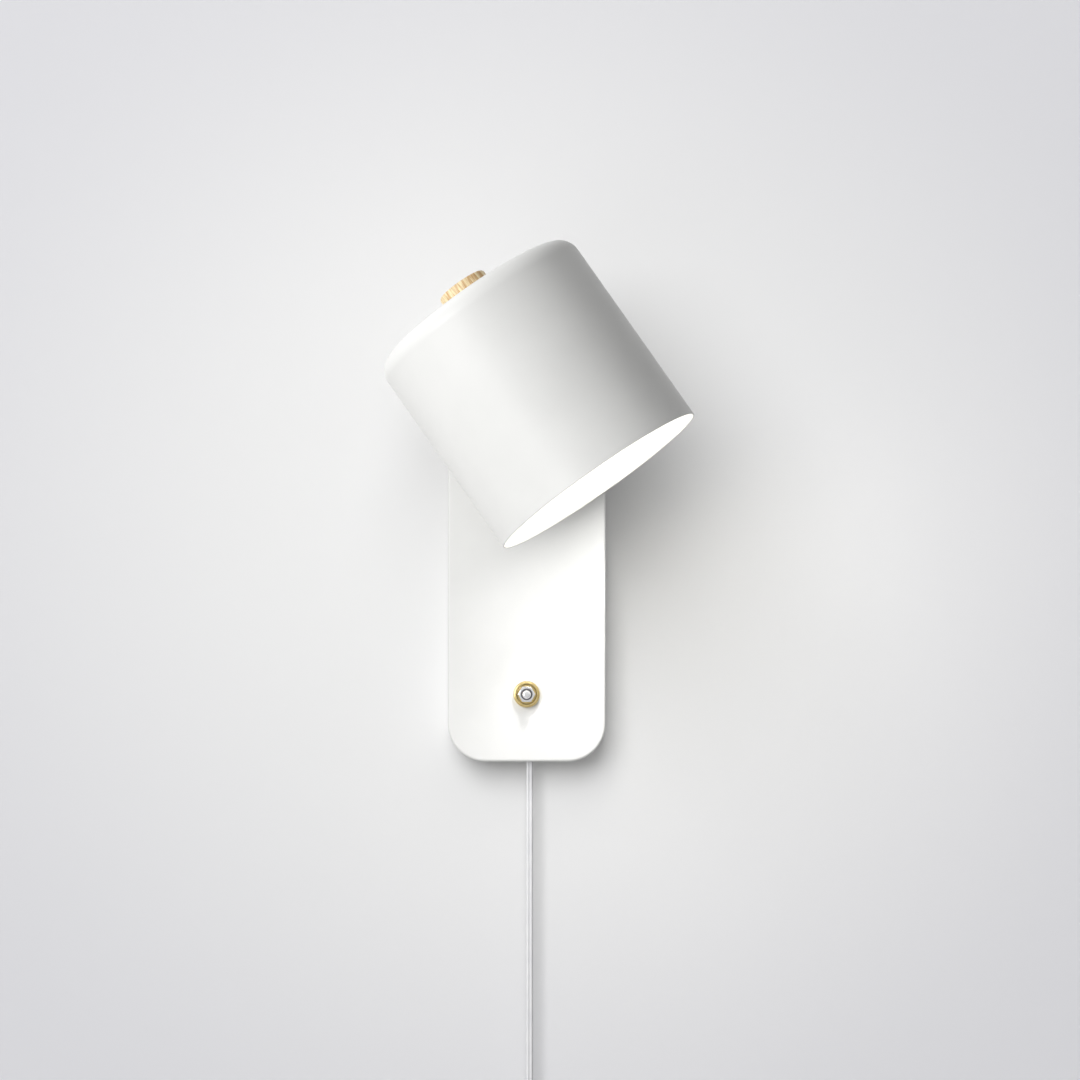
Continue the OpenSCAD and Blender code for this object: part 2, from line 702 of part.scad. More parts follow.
module holder_cap() color("whitesmoke") in_shade() difference() {
    rotate_extrude() polygon([
        [shade_thread_d / 2 + thread_gap, holder_top], [shade_nut_af / 2 + 1.5, holder_top],
        [holder_r * 0.74, holder_top - 2], [holder_r * 0.93, holder_top - 5],
        [holder_r, holder_top - 9], [holder_r, holder_cap_bottom],
        [holder_r - holder_wall, holder_cap_bottom], [holder_r - holder_wall, holder_top - 9],
        [holder_r * 0.55, holder_top - 4], [shade_thread_d / 2 + thread_gap, holder_top - 4],
    ]);
    translate([0, 0, lead_inlet]) rotate([-90, 0, 0]) cylinder(r = lead_d / 2 + 0.3, h = holder_d);
}

// The skirt is one lip narrower below its upper band, inside and out.
skirt_lip = 0.8;
skirt_band = 12;

module holder_skirt() color("whitesmoke") in_shade() rotate_extrude() polygon([
    [holder_r, holder_cap_bottom], [holder_r - holder_wall, holder_cap_bottom],
    [holder_r - holder_wall - skirt_lip, holder_cap_bottom - skirt_lip],
    [holder_r - holder_wall - skirt_lip, holder_mouth + skirt_lip],
    [holder_r - holder_wall - skirt_lip / 2, holder_mouth],
    [holder_r - skirt_lip * 1.5, holder_mouth], [holder_r - skirt_lip, holder_mouth + skirt_lip],
    [holder_r - skirt_lip, holder_cap_bottom - skirt_band],
    [holder_r, holder_cap_bottom - skirt_band + skirt_lip],
]);

module holder_core() color("white") in_shade() translate([0, 0, core_bottom])
    cylinder(r = holder_r - holder_wall - skirt_lip - face_gap, h = holder_core_t - skirt_lip);

holder_thread_r = bulb_thread_d / 2 + 0.3;

module holder_thread() color("silver") in_shade() {
    tube(holder_thread_r + 0.6, holder_thread_r, core_bottom - bulb_thread_len + 1, core_bottom);
    tube(holder_thread_r + 0.3, 9, core_bottom - 0.6, core_bottom);
}

module holder_contact() color("gold") in_shade() {
    translate([0, 0, core_bottom - contact_t]) cylinder(r = 4, h = contact_t);
    translate([-2.5, -7.5, core_bottom - 0.6]) cube([5, 15, 0.6]);
}

module bulb_tip() color("silver") in_shade() rotate_extrude() polygon([
    [0, tip_top - tip_t], [4.9, tip_top - tip_t], [4.4, tip_top - 0.5], [2.5, tip_top], [0, tip_top],
]);

module bulb_insulator() color("dimgray") in_shade() translate([0, 0, bulb_thread_top])
    cylinder(r1 = bulb_thread_d / 2 - 1.2, r2 = 5.2, h = insulator_t);

// The thread's rings, one every turn, as a wave down the side.
module bulb_thread() color("silver") in_shade() rotate_extrude() polygon(concat(
    [[0, bulb_thread_bottom]],
    [for (i = [0:24])
        [bulb_thread_d / 2 - 0.45 + 0.45 * cos(360 * i / 4), bulb_thread_bottom
            + bulb_thread_len * i / 24]],
    [[0, bulb_thread_top]]
));

module bulb_collar() color("white") in_shade() rotate_extrude() polygon([
    [0, bulb_thread_bottom], [bulb_thread_d / 2 + 0.9, bulb_thread_bottom],
    [bulb_thread_d / 2 + 1.3, bulb_thread_bottom - 2],
    [bulb_collar_d * 0.42, bulb_thread_bottom - bulb_collar_len * 0.5],
    [bulb_collar_d / 2, collar_bottom], [0, collar_bottom],
]);

module bulb_globe() color("ivory") in_shade() difference() {
    translate([0, 0, globe_centre]) sphere(r = globe_r);
    translate([0, 0, globe_centre]) sphere(r = globe_r - globe_wall);
    translate([0, 0, collar_bottom]) cylinder(r = globe_r, h = globe_r);
}

// From the hollow thread in the shade's wall, along the wall and across to the lampholder.
module lamp_lead() color("whitesmoke") in_shade() wire([
    [0, shade_r - 1, joint_height], [0, shade_r - 9, joint_height],
    [0, shade_r - 13, joint_height + 2], [0, shade_r - 17, joint_height + 7],
    [0, shade_r - 21, joint_height + 14], [0, holder_r + 20, lead_inlet - 12],
    [0, holder_r + 14, lead_inlet - 4], [0, holder_r + 7, lead_inlet - 0.5],
    [0, holder_r + 2, lead_inlet], [0, holder_r - holder_wall - 3, lead_inlet],
], lead_d, [1, 0, 0]);

module switch_ring() color("goldenrod") facing(0, switch_z) rotate_extrude() polygon(concat(
    [[bushing_d / 2 + 0.2, cover_front], [ring_d / 2 - 0.6, cover_front]],
    arc([ring_d / 2 - 1.2, cover_front + ring_h - 1.6], 1.2, 0, 60, 5),
    arc([ring_hollow_d / 2 + 0.7, cover_front + ring_h - 0.7], 0.7, 80, 180, 6),
    [[ring_hollow_d / 2, ring_floor], [bushing_d / 2 + 0.2, ring_floor]]
));

module switch_nut() color("silver") facing(0, switch_z) intersection() {
    hex_nut(switch_nut_d * cos(30), bushing_d / 2 + thread_gap, ring_floor, ring_floor + switch_nut_t);
    // The turned chamfer on the nut's front corners.
    translate([0, 0, ring_floor])
        cylinder(r1 = switch_nut_d / 2 + switch_nut_t, r2 = switch_nut_d / 2 - 0.5, h = switch_nut_t);
}

module switch_bushing() color("silver") facing(0, switch_z)
    tube(bushing_d / 2, button_d / 2 + running_gap, cover_inside, bushing_front);

module switch_case() color("dimgray") facing(0, switch_z) difference() {
    translate([-switch_case_w / 2, -switch_case_h / 2, case_back])
        cube([switch_case_w, switch_case_h, cover_inside - case_back - face_gap]);
    translate([0, 0, chamber_back]) cylinder(r = chamber_r, h = cover_inside);
}

module switch_tags() color("gold") facing(0, switch_z)
    for (y = [-1, 1]) translate([-1.5, y * switch_case_h * 0.32 - 0.4, case_back - tag_len])
        cube([3, 0.8, tag_len]);

module switch_spring() color("silver") facing(0, switch_z)
    tube(button_d / 2 - 0.2, button_d / 2 - 1, chamber_back + face_gap, shoulder_back - face_gap);

module switch_button() color("silver") facing(0, switch_z) {
    translate([0, 0, shoulder_back]) cylinder(r = chamber_r - 0.15, h = shoulder_t);
    rotate_extrude() polygon(concat(
        [[0, shoulder_back], [button_d / 2, shoulder_back]],
        arc([button_d / 2 - 1.4, button_front - 1.4], 1.4, 0, 90, 6),
        [[0, button_front]]
    ));
}

block_holes = [-block_w / 4, block_w / 4];
block_bottom = block_z - block_h / 2;
block_top = block_z + block_h / 2;
block_back = bracket_t;
wire_front = block_back + block_d / 2;

terminal_rows = [block_z - block_h / 4, block_z + block_h / 4];

module terminal_block() color("whitesmoke") difference() {
    translate([-block_w / 2, -block_back - block_d, block_z - block_h / 2])
        cube([block_w, block_d, block_h]);
    for (x = block_holes) {
        translate([x, -wire_front, block_z - block_h / 2 - past])
            cylinder(r = wire_d / 2 + 0.4, h = block_h + 2 * past);
        for (z = terminal_rows) facing(x, z) translate([0, 0, wire_front])
            cylinder(r = small_screw_d / 2 + thread_gap, h = block_d);
    }
    facing(0, block_z) cylinder(r = small_screw_d / 2 + 0.2, h = cover_d);
}

module terminal_screws() color("gold")
    for (x = block_holes) for (z = terminal_rows)
        facing(x, z) translate([0, 0, wire_front + wire_d / 2 + thread_gap])
            cylinder(r = small_screw_d / 2, h = block_d / 2 - wire_d / 2 - 1.5);

// A small round-headed screw through a piece and into the bracket.
module small_screw(seat_front) {
    cylinder(r = small_screw_d / 2, h = seat_front);
    translate([0, 0, seat_front]) cylinder(r = small_screw_d * 0.9, h = small_screw_d * 0.5);
}

module block_screw() color("silver") facing(0, block_z) small_screw(block_back + block_d);

clamp_screw_x = [cord_x - clamp_w * 0.32, cord_x + clamp_w * 0.32];
clamp_split = -cord_y;
clamp_room = cord_t / 2 + 0.1;

module clamp_half(front, depth) {
    facing(cord_x, clamp_z) translate([-clamp_w / 2, -clamp_h / 2, front])
        cube([clamp_w, clamp_h, depth]);
}

module clamp_cuts() {
    translate([cord_x, cord_y, clamp_z - clamp_h]) linear_extrude(2 * clamp_h)
        square([cord_w + 0.4, 2 * clamp_room], center = true);
    for (x = clamp_screw_x) facing(x, clamp_z) cylinder(r = small_screw_d / 2 + 0.2, h = cover_d);
}

module clamp_base() color("whitesmoke") difference() {
    clamp_half(bracket_t, clamp_split - bracket_t);
    clamp_cuts();
}

module clamp_bridge() color("whitesmoke") difference() {
    clamp_half(clamp_split, clamp_room + bridge_t);
    clamp_cuts();
}

module clamp_screws() color("silver")
    for (x = clamp_screw_x) facing(x, clamp_z) small_screw(clamp_split + clamp_room + bridge_t);

cord_inside_top = clamp_z + clamp_h / 2 + 3;

module cord_inside() color("white") translate([cord_x, cord_y, -cover_h / 2])
    linear_extrude(cord_inside_top + cover_h / 2) cord_outline(0);

module cord_grommet() color("white") translate([cord_x, cord_y, -cover_h / 2]) difference() {
    union() {
        linear_extrude(cover_wall + past) cord_outline(grommet_grow - 0.1);
        translate([0, 0, cover_wall]) linear_extrude(grommet_t - cover_wall)
            cord_outline(grommet_grow + 1.2);
    }
    translate([0, 0, -past]) linear_extrude(grommet_t + 2 * past) cord_outline(0.1);
}

// Neutral from the cord past the switch to the block, and live from the cord to the lower tag.
module mains_wires() color("lightsteelblue") {
    wire([
        [cord_x + 1.2, cord_y, cord_inside_top + loose_gap],
        [cord_x + 1.2, cord_y, cord_inside_top + 1], [cord_x + 4.5, cord_y, cord_inside_top + 3.2],
        [switch_case_w / 2 + 2, cord_y, switch_z - switch_case_h / 2 - 0.5],
        [switch_case_w / 2 + 3, cord_y, switch_z - 5], [switch_case_w / 2 + 3, cord_y, switch_z + 14],
        [switch_case_w / 2 + 3, -9, switch_z + 50],
        [block_holes[1] + 1, -wire_front, block_bottom - 12],
        [block_holes[1], -wire_front, block_bottom - 4], [block_holes[1], -wire_front, terminal_rows[0]],
    ], wire_d, [0, 1, 0]);
    wire([
        [cord_x - 1.2, cord_y, cord_inside_top + loose_gap],
        [cord_x - 1.2, cord_y, cord_inside_top + 1],
        [0, case_back * -0.7, switch_z - switch_case_h / 2],
        [0, -(case_back - tag_len / 2), switch_z - switch_case_h * 0.32 - 1.6],
    ], wire_d, [1, 0, 0]);
}

module switch_wire() color("peru") wire([
    [0, -(case_back - tag_len / 2), switch_z + switch_case_h * 0.32 + 1.6],
    [0, -(case_back - tag_len / 2) + 1, switch_z + switch_case_h / 2 + 2],
    [-5, -7, switch_z + 25], [-9, -7, switch_z + 38], [-9, -7.5, switch_z + 60],
    [block_holes[0], -wire_front, block_bottom - 8], [block_holes[0], -wire_front, terminal_rows[0]],
], wire_d, [0, 1, 0]);

// Two wires from the block join in one lead, which passes beside the upper wall screw, goes up
// the bracket, bends into the stem's bore and runs forward to the fork.
riser_x = 10;
riser_y = -bracket_t - lead_d / 2 - 0.4;
riser_z = block_top + 20;

module riser_lead() color("whitesmoke") {
    for (side = [0, 1]) wire([
        [block_holes[side], -wire_front, terminal_rows[1]],
        [block_holes[side], -wire_front, block_top + 3],
        [riser_x + (side - 0.5) * 8, riser_y - 1, block_top + 11],
        [riser_x + (side - 0.5) * 2.2, riser_y, riser_z - 3],
        [riser_x + (side - 0.5) * 2, riser_y, riser_z],
    ], wire_d * 0.85, [0, 1, 0]);
    wire([
        [riser_x, riser_y, riser_z], [riser_x, riser_y, riser_z + 4],
        [riser_x, riser_y, wall_hole_span / 2 + 8], [6, riser_y, swivel_z - 24],
        [1.5, riser_y, swivel_z - 15], [0, riser_y, swivel_z - 10], [0, riser_y, swivel_z - 7],
        [0, riser_y - 0.6, swivel_z - 3.6], [0, riser_y - 1.8, swivel_z - 1.3],
        [0, -stem_back + 0.8, swivel_z - 0.2], [0, -stem_back - 2, swivel_z],
        [0, -hub_front, swivel_z],
    ], lead_d, [1, 0, 0]);
}

module cord_hanging() color("white") skin(path_rings(cord_route, cord_section, [0, 1, 0]));

module cord_tail() color("white") skin(path_rings(tail_route, cord_section, [0, 1, 0]));

// The coil's middle line at a number of turns from its start. The flat side lies along Y.
function coil_point(t) =
    let (
        middle = coil_turns / 2,
        r = coil_r - coil_step * (middle - abs(t - middle)),
        climb = min(max((t - middle) / 0.5 + 0.5, 0), 1),
        a = coil_start + 360 * t
    )
    [coil_centre.x + r * cos(a), coil_centre.y + coil_layer * (0.5 - climb),
        coil_centre.z + r * sin(a), 90];

coil_path = concat(
    [cord_route[len(cord_route) - 1]],
    [for (i = [0:coil_last]) coil_point(coil_turns * i / coil_last)],
    [tail_route[0]]
);
coil_rings = path_rings(coil_path, coil_section, [0, 1, 0]);

// Least distance from a ring's points to the sides of another ring.
function ring_gap(a, b) = min([for (p = a) for (j = [0:len(b) - 1])
    let (
        q = b[j], d = b[(j + 1) % len(b)] - q,
        s = min(max((p - q) * d / (d * d), 0), 1)
    )
    norm(p - q - s * d)]);

coil_gap = min([for (i = [0:len(coil_rings) - 20]) for (k = [20:28]) for (turn = [0:3])
    let (j = i + k + turn * rings_per_loop)
    if (j < len(coil_rings)) ring_gap(coil_rings[i], coil_rings[j])]);

module cord_coil() color("white") {
    echo(least_gap_of_coil = coil_gap);
    skin(coil_rings);
}

tie_angle = 62;
tie_w = 8;
tie_t = 1;

module cord_tie() color("white") {
    inner = coil_r - coil_step * coil_turns / 2 - cord_t / 2 - 0.4;
    outer = coil_r + cord_t / 2 + 0.4;
    half = (coil_layer + cord_w) / 2 + 0.4;
    translate(coil_centre) rotate([0, -tie_angle, 0]) translate([(inner + outer) / 2, 0, -tie_w / 2])
        linear_extrude(tie_w) difference() {
            square([outer - inner + 2 * tie_t, 2 * (half + tie_t)], center = true);
            square([outer - inner, 2 * half], center = true);
        }
}

module plug_body() color("white") translate([cord_x, cord_y, 0]) difference() {
    union() {
        hull() {
            for (x = [-1, 1]) translate([x * (plug_w - plug_t) / 2, 0, plug_face])
                cylinder(r = plug_t / 2, h = plug_len * 0.45, $fn = 32);
            for (x = [-1, 1]) translate([x * (plug_w / 2 - 11), 0, plug_face + plug_len - 2])
                cylinder(r = 4.5, h = 2, $fn = 32);
        }
        hull() {
            translate([0, 0, plug_face + plug_len - 2])
                linear_extrude(1) square([12, 8], center = true);
            translate([0, 0, plug_top - 1])
                linear_extrude(1) square([cord_w + 1.6, cord_t + 1.6], center = true);
        }
    }
    for (x = [-1, 1]) translate([x * pin_span / 2, 0, plug_face - past])
        cylinder(r = pin_d / 2 + 0.4 + thread_gap, h = pin_root + past);
}

module plug_pins() color("silver")
    for (x = [-1, 1]) translate([cord_x + x * pin_span / 2, cord_y, 0]) {
        translate([0, 0, plug_face]) cylinder(r = pin_d / 2 + 0.4, h = pin_root);
        translate([0, 0, plug_face - sleeve_len]) cylinder(r = pin_d / 2 - 0.6, h = sleeve_len);
        translate([0, 0, plug_face - pin_len + 1])
            cylinder(r = pin_d / 2, h = pin_len - sleeve_len - 1);
        translate([0, 0, plug_face - pin_len]) cylinder(r1 = pin_d / 2 - 1, r2 = pin_d / 2, h = 1);
    }

module plug_sleeves() color("white")
    for (x = [-1, 1]) translate([cord_x + x * pin_span / 2, cord_y, 0])
        tube(pin_d / 2 - 0.2, pin_d / 2 - 0.6 + thread_gap, plug_face - sleeve_len, plug_face);

cover();
wall_bracket();
cover_screws();
swivel_base();
swivel_washer();
swivel_nut();
swivel_fork();
swivel_slide_washer();
swivel_spring_washer();
swivel_end_washer();
swivel_clip();
swivel_stop_pin();
tilt_screw();
tilt_nut();
tilt_washers();
tilt_eye();
shade_saddle();
shade();
shade_inner_plate();
shade_nut();
holder_nipple();
holder_nut();
wood_cap();
cap_insert();
holder_cap();
holder_skirt();
holder_core();
holder_thread();
holder_contact();
bulb_globe();
bulb_collar();
bulb_thread();
bulb_insulator();
bulb_tip();
lamp_lead();
switch_ring();
switch_nut();
switch_bushing();
switch_case();
switch_tags();
switch_spring();
switch_button();
terminal_block();
terminal_screws();
block_screw();
mains_wires();
switch_wire();
riser_lead();
clamp_base();
clamp_bridge();
clamp_screws();
cord_inside();
cord_grommet();
cord_hanging();
cord_coil();
cord_tail();
cord_tie();
plug_body();
plug_sleeves();
plug_pins();
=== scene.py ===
"""A plug-in wall lamp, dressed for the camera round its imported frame.

Metres, in the frame's own axes: the wall is the plane y = 0, the lamp looks towards -Y, +Z is up.
"""

import json
import math

import bmesh
import bpy
import numpy as np
from mathutils import Matrix, Vector


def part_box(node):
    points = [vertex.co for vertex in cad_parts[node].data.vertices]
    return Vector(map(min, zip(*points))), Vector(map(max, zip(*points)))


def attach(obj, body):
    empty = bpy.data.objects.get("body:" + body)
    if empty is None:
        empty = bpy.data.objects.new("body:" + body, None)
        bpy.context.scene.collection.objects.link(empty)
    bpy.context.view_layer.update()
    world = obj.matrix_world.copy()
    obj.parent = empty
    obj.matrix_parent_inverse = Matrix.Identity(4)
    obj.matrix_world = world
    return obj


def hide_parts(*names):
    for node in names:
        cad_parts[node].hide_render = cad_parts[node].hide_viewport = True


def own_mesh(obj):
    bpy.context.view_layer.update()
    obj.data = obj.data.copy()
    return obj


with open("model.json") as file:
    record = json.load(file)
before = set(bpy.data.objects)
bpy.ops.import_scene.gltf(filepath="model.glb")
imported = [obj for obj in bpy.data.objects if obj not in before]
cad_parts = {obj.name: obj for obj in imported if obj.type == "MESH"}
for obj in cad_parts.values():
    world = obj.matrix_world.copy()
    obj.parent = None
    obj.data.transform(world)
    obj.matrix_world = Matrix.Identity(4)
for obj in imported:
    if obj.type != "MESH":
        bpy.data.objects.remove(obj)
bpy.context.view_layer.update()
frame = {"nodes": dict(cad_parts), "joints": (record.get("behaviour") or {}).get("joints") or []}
nodes = frame["nodes"]
scene = bpy.context.scene

# Camera. The photograph looks straight at the wall from about four metres, through a long lens. Its
# middle is a little to the right of the lamp's own middle.
cover_low, cover_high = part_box("cover")
photo_width = 1080
plate_pixel = 0.00066
sensor_width = 36
view_distance = 4.0
view_middle = Vector((0.0088, 0, -0.00125))

camera = bpy.data.objects.new("camera", bpy.data.cameras.new("camera"))
camera.location = view_middle + Vector((0, cover_low.y - view_distance, 0))
camera.rotation_euler = (math.radians(90), 0, 0)
camera.data.sensor_width = sensor_width
camera.data.lens = sensor_width * view_distance / (photo_width * plate_pixel)
camera.data.clip_end = 50
scene.collection.objects.link(camera)
scene.camera = camera

# Cord. A flat white twin flex of soft plastic, two round cores side by side. It leaves the plate's
# lower edge, hangs straight down, and its spare length is wound in a coil of two layers.
cord_width = 0.0044
cord_thickness = 0.0023
cord_exit = (0.002, -0.012, cover_low.z)
# Each point is x, y, z and the turn of the flat side in degrees, as in the part's own route.
hanging_route = [
    (0.002, -0.012, -0.1475, 0), (0.002, -0.012, -0.160, 0), (0.002, -0.012, -0.175, 0),
    (0.002, -0.012, -0.190, 0), (0.002, -0.012, -0.205, 0), (0.002, -0.012, -0.220, 0),
    (0.002, -0.012, -0.235, 0), (0.002, -0.012, -0.250, 0), (0.002, -0.012, -0.265, 0),
    (0.002, -0.012, -0.280, 0), (0.002, -0.012, -0.295, 0), (0.002, -0.012, -0.310, 0),
    (0.002, -0.012, -0.325, 0), (0.002, -0.012, -0.340, 0), (0.002, -0.012, -0.352, 0),
    (0.002, -0.012, -0.362, 0), (0.002, -0.0117, -0.368, 20), (0.002, -0.0113, -0.374, 42),
    (0.002, -0.011, -0.380, 65), (0.002, -0.0106, -0.386, 84), (0.002, -0.0103, -0.3915, 90),
    (0.0014, -0.010, -0.3967, 90), (-0.0005, -0.0098, -0.4015, 90), (-0.0036, -0.0096, -0.4056, 90),
    (-0.0076, -0.0095, -0.4089, 90), (-0.011, -0.0095, -0.411, 90),
]
tail_route = [
    (-0.011, -0.0145, -0.469, 90), (-0.0076, -0.0145, -0.4711, 90), (-0.0036, -0.0144, -0.4744, 90),
    (-0.0005, -0.0142, -0.4785, 90), (0.0014, -0.014, -0.4833, 90), (0.002, -0.0136, -0.4885, 90),
    (0.002, -0.0132, -0.4935, 75), (0.002, -0.0127, -0.4985, 50), (0.002, -0.0123, -0.5035, 22),
    (0.002, -0.012, -0.5085, 0), (0.002, -0.012, -0.514, 0),
]
coil_centre = (0.002, -0.012, -0.440)
coil_radius = 0.0315
coil_step = 0.00275
coil_layer = 0.005
coil_start = 122
coil_turns = 9 + 116 / 360
rings_per_turn = 72


def wound_line():
    """The coil's middle line: a spiral whose radius shrinks by one step a turn as far as the middle
    and grows again after it, in a second layer that the line climbs to over half a turn."""
    t = np.linspace(0, coil_turns, round(coil_turns * rings_per_turn) + 1)
    middle = coil_turns / 2
    radius = coil_radius - coil_step * (middle - abs(t - middle))
    climb = np.clip((t - middle) / 0.5 + 0.5, 0, 1)
    angle = np.radians(coil_start + 360 * t)
    return np.column_stack([
        coil_centre[0] + radius * np.cos(angle),
        coil_centre[1] + coil_layer * (0.5 - climb),
        coil_centre[2] + radius * np.sin(angle),
        np.full_like(t, 90.0),
    ])


def flowing(points, between=4):
    """A smooth line through the points: between two of them, a cubic whose slope at each point is
    half the step from the point before it to the point after it."""
    p = np.asarray(points, float)
    ends = np.vstack([2 * p[0] - p[1], p, 2 * p[-1] - p[-2]])
    a, b, c, d = (ends[k:len(ends) - 3 + k, None] for k in range(4))
    s = (np.arange(between) / between)[None, :, None]
    squared = a - 2.5 * b + 2 * c - 0.5 * d
    cubed = 1.5 * (b - c) + 0.5 * (d - a)
    curve = b + 0.5 * s * (c - a) + s**2 * squared + s**3 * cubed
    return np.vstack([curve.reshape(-1, p.shape[1]), p[-1]])


def twin_section(width, thickness, steps=11):
    """The outline of two round cores side by side: an arc round each core, open towards the web
    that joins them."""
    r = thickness / 2
    arc_end = 130
    reach = np.radians(np.linspace(-arc_end, arc_end, steps))
    core = np.column_stack([width / 2 - r + r * np.cos(reach), r * np.sin(reach)])
    return np.vstack([core, -core])


def carried(line, section, ref=(0, 1, 0)):
    """A grid of rings: the section stands square to the line at each of its points, with its first
    axis square to ref, and turned by the line's fourth value in degrees."""
    p = line[:, :3]
    along = np.gradient(p, axis=0)
    along /= np.linalg.norm(along, axis=1)[:, None]
    u = np.cross(ref, along)
    u /= np.linalg.norm(u, axis=1)[:, None]
    v = np.cross(along, u)
    angle = np.radians(line[:, 3]) if line.shape[1] > 3 else np.zeros(len(line))
    c, s = np.cos(angle)[:, None], np.sin(angle)[:, None]
    x, y = section[None, :, 0], section[None, :, 1]
    across, upward = x * c - y * s, x * s + y * c
    return p[:, None] + across[:, :, None] * u[:, None] + upward[:, :, None] * v[:, None]


def surface(name, grid, place=None, loop=False):
    """A closed skin over a grid of points, rows by columns. The columns go round. The last row joins
    the first in a loop, or else both are closed with a face, and a row of one point makes a pole."""
    rows, cols = grid.shape[:2]
    across = np.arange(cols)
    down = np.arange(rows if loop else rows - 1)[:, None]
    below = (down + 1) % rows
    beside = (across + 1) % cols
    near, far = down * cols, below * cols
    quads = np.stack([near + across, near + beside, far + beside, far + across], -1)
    faces = quads.reshape(-1, 4).tolist()
    if not loop:
        faces += [across[::-1].tolist(), (across + (rows - 1) * cols).tolist()]
    mesh = bpy.data.meshes.new(name)
    mesh.from_pydata(grid.reshape(-1, 3).tolist(), [], faces)
    if place is not None:
        mesh.transform(place)
    same_point = 1e-7
    skin = bmesh.new()
    skin.from_mesh(mesh)
    bmesh.ops.remove_doubles(skin, verts=skin.verts, dist=same_point)
    loose = [edge for edge in skin.edges if not edge.link_faces]
    bmesh.ops.delete(skin, geom=loose, context="EDGES")
    bmesh.ops.recalc_face_normals(skin, faces=skin.faces)
    skin.to_mesh(mesh)
    skin.free()
    piece = bpy.data.objects.new(name, mesh)
    scene.collection.objects.link(piece)
    return piece


def tone(red, green, blue):
    """A colour given as it looks on a screen, from 0 to 255, in the shader's own linear values."""
    c = np.array([red, green, blue]) / 255
    return (*np.where(c > 0.04045, ((c + 0.055) / 1.055) ** 2.4, c / 12.92).tolist(), 1)


def finish_of(name, colour, roughness, **sockets):
    """A new material. Its even values are set on the shader's own sockets."""
    made = bpy.data.materials.new(name)
    made.use_nodes = True
    shader = made.node_tree.nodes["Principled BSDF"]
    shader.inputs["Base Color"].default_value = colour
    shader.inputs["Roughness"].default_value = roughness
    for socket, value in sockets.items():
        shader.inputs[socket.replace("_", " ")].default_value = value
    return made


def add(made, kind, inputs=None, **settings):
    """One more node in a material or the sky. An input is a value, or an output of another node."""
    node = made.node_tree.nodes.new("ShaderNode" + kind)
    for name, value in settings.items():
        setattr(node, name, value)
    for name, value in (inputs or {}).items():
        if isinstance(value, bpy.types.NodeSocket):
            made.node_tree.links.new(value, node.inputs[name])
        else:
            node.inputs[name].default_value = value
    return node


def drive(made, socket, output):
    """Lets a node's output drive a socket of the material's shader."""
    shader = made.node_tree.nodes["Principled BSDF"]
    made.node_tree.links.new(output, shader.inputs[socket])


def lumps(made, scale, detail, stretch=(1, 1, 1), place=None):
    """A cloud noise with that many lumps a metre, its lumps stretched along a place's own axes."""
    own = add(made, "TexCoord").outputs["Object"]
    placed = add(made, "Mapping", {"Vector": own, "Scale": stretch}, vector_type="TEXTURE")
    if place is not None:
        placed.inputs["Location"].default_value = place.to_translation()
        placed.inputs["Rotation"].default_value = place.to_euler()
    values = {"Vector": placed.outputs["Vector"], "Scale": scale, "Detail": detail}
    return add(made, "TexNoise", values).outputs["Fac"]


def mixed(made, share, first, last):
    """A mix of two colours. All three are values, or outputs of other nodes."""
    return add(made, "Mix", {0: share, 6: first, 7: last}, data_type="RGBA").outputs[2]


def between(made, cloud, low, high, first=0.3, last=0.7):
    """Turns a cloud into a colour, or a number, that runs from low to high."""
    if isinstance(low, tuple):
        share = add(made, "MapRange", {"Value": cloud, "From Min": first, "From Max": last})
        return mixed(made, share.outputs["Result"], low, high)
    values = {"Value": cloud, "From Min": first, "From Max": last, "To Min": low, "To Max": high}
    return add(made, "MapRange", values).outputs["Result"]


def wear(made, socket, scale, detail, low, high):
    """Lets a colour or a number of the shader run from low to high in a cloud of its own."""
    drive(made, socket, between(made, lumps(made, scale, detail), low, high))


def dents(made, cloud, depth, strength):
    """Raises and sinks the shaded surface by a cloud, over a depth in metres."""
    bump = add(made, "Bump", {"Height": cloud, "Distance": depth, "Strength": strength})
    drive(made, "Normal", bump.outputs["Normal"])


def dress(piece, material, body, stands_for=(), sharp=40):
    """Gives a piece its material, smooth shading up to a sharp angle and its body, and hides the nodes it
    stands for.
    """
    piece.data.materials.clear()
    piece.data.materials.append(material)
    piece.data.shade_smooth()
    piece.data.set_sharp_from_angle(angle=math.radians(sharp))
    piece.modifiers.new("flat faces stay flat", "WEIGHTED_NORMAL").keep_sharp = True
    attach(piece, body)
    if stands_for:
        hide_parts(*stands_for)
    return piece


def repaint(material, *names):
    """Gives CAD nodes whose shape is right a better material."""
    for name in names:
        for place in nodes[name].material_slots:
            place.material = material


soft_white = finish_of("soft white cord", tone(228, 228, 230), 0.42, Specular_IOR_Level=0.45)
wear(soft_white, "Base Color", 90, 2, tone(223, 223, 226), tone(233, 233, 234))
dents(soft_white, lumps(soft_white, 900, 3), 0.00006, 0.5)

cord_line = np.vstack([flowing(hanging_route)[:-1], wound_line(), flowing(tail_route)[1:]])
cord = surface("flat_cord", carried(cord_line, twin_section(cord_width, cord_thickness)))
dress(cord, soft_white, "wall_part", ["cord_hanging", "cord_coil", "cord_tail"])
repaint(soft_white, "cord_inside", "cord_grommet")

# Plug. A flat two-pole plug moulded onto the cord, with a ribbed relief and two nickel-plated pins,
# half in plastic sleeves. A strap of the same white plastic keeps the coil together.
plug_low, plug_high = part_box("plug_body")
plug_middle = (plug_low + plug_high) / 2
plug_half_width = (plug_high.x - plug_low.x) / 2
plug_half_depth = (plug_high.y - plug_low.y) / 2
plug_round = 0.0012
shoulder_length = 0.0144
relief_length = 0.010
relief_half_width = 0.0060
relief_half_depth = 0.0040
relief_wall = 0.0008
relief_ribs = 5
rib_height = 0.0003


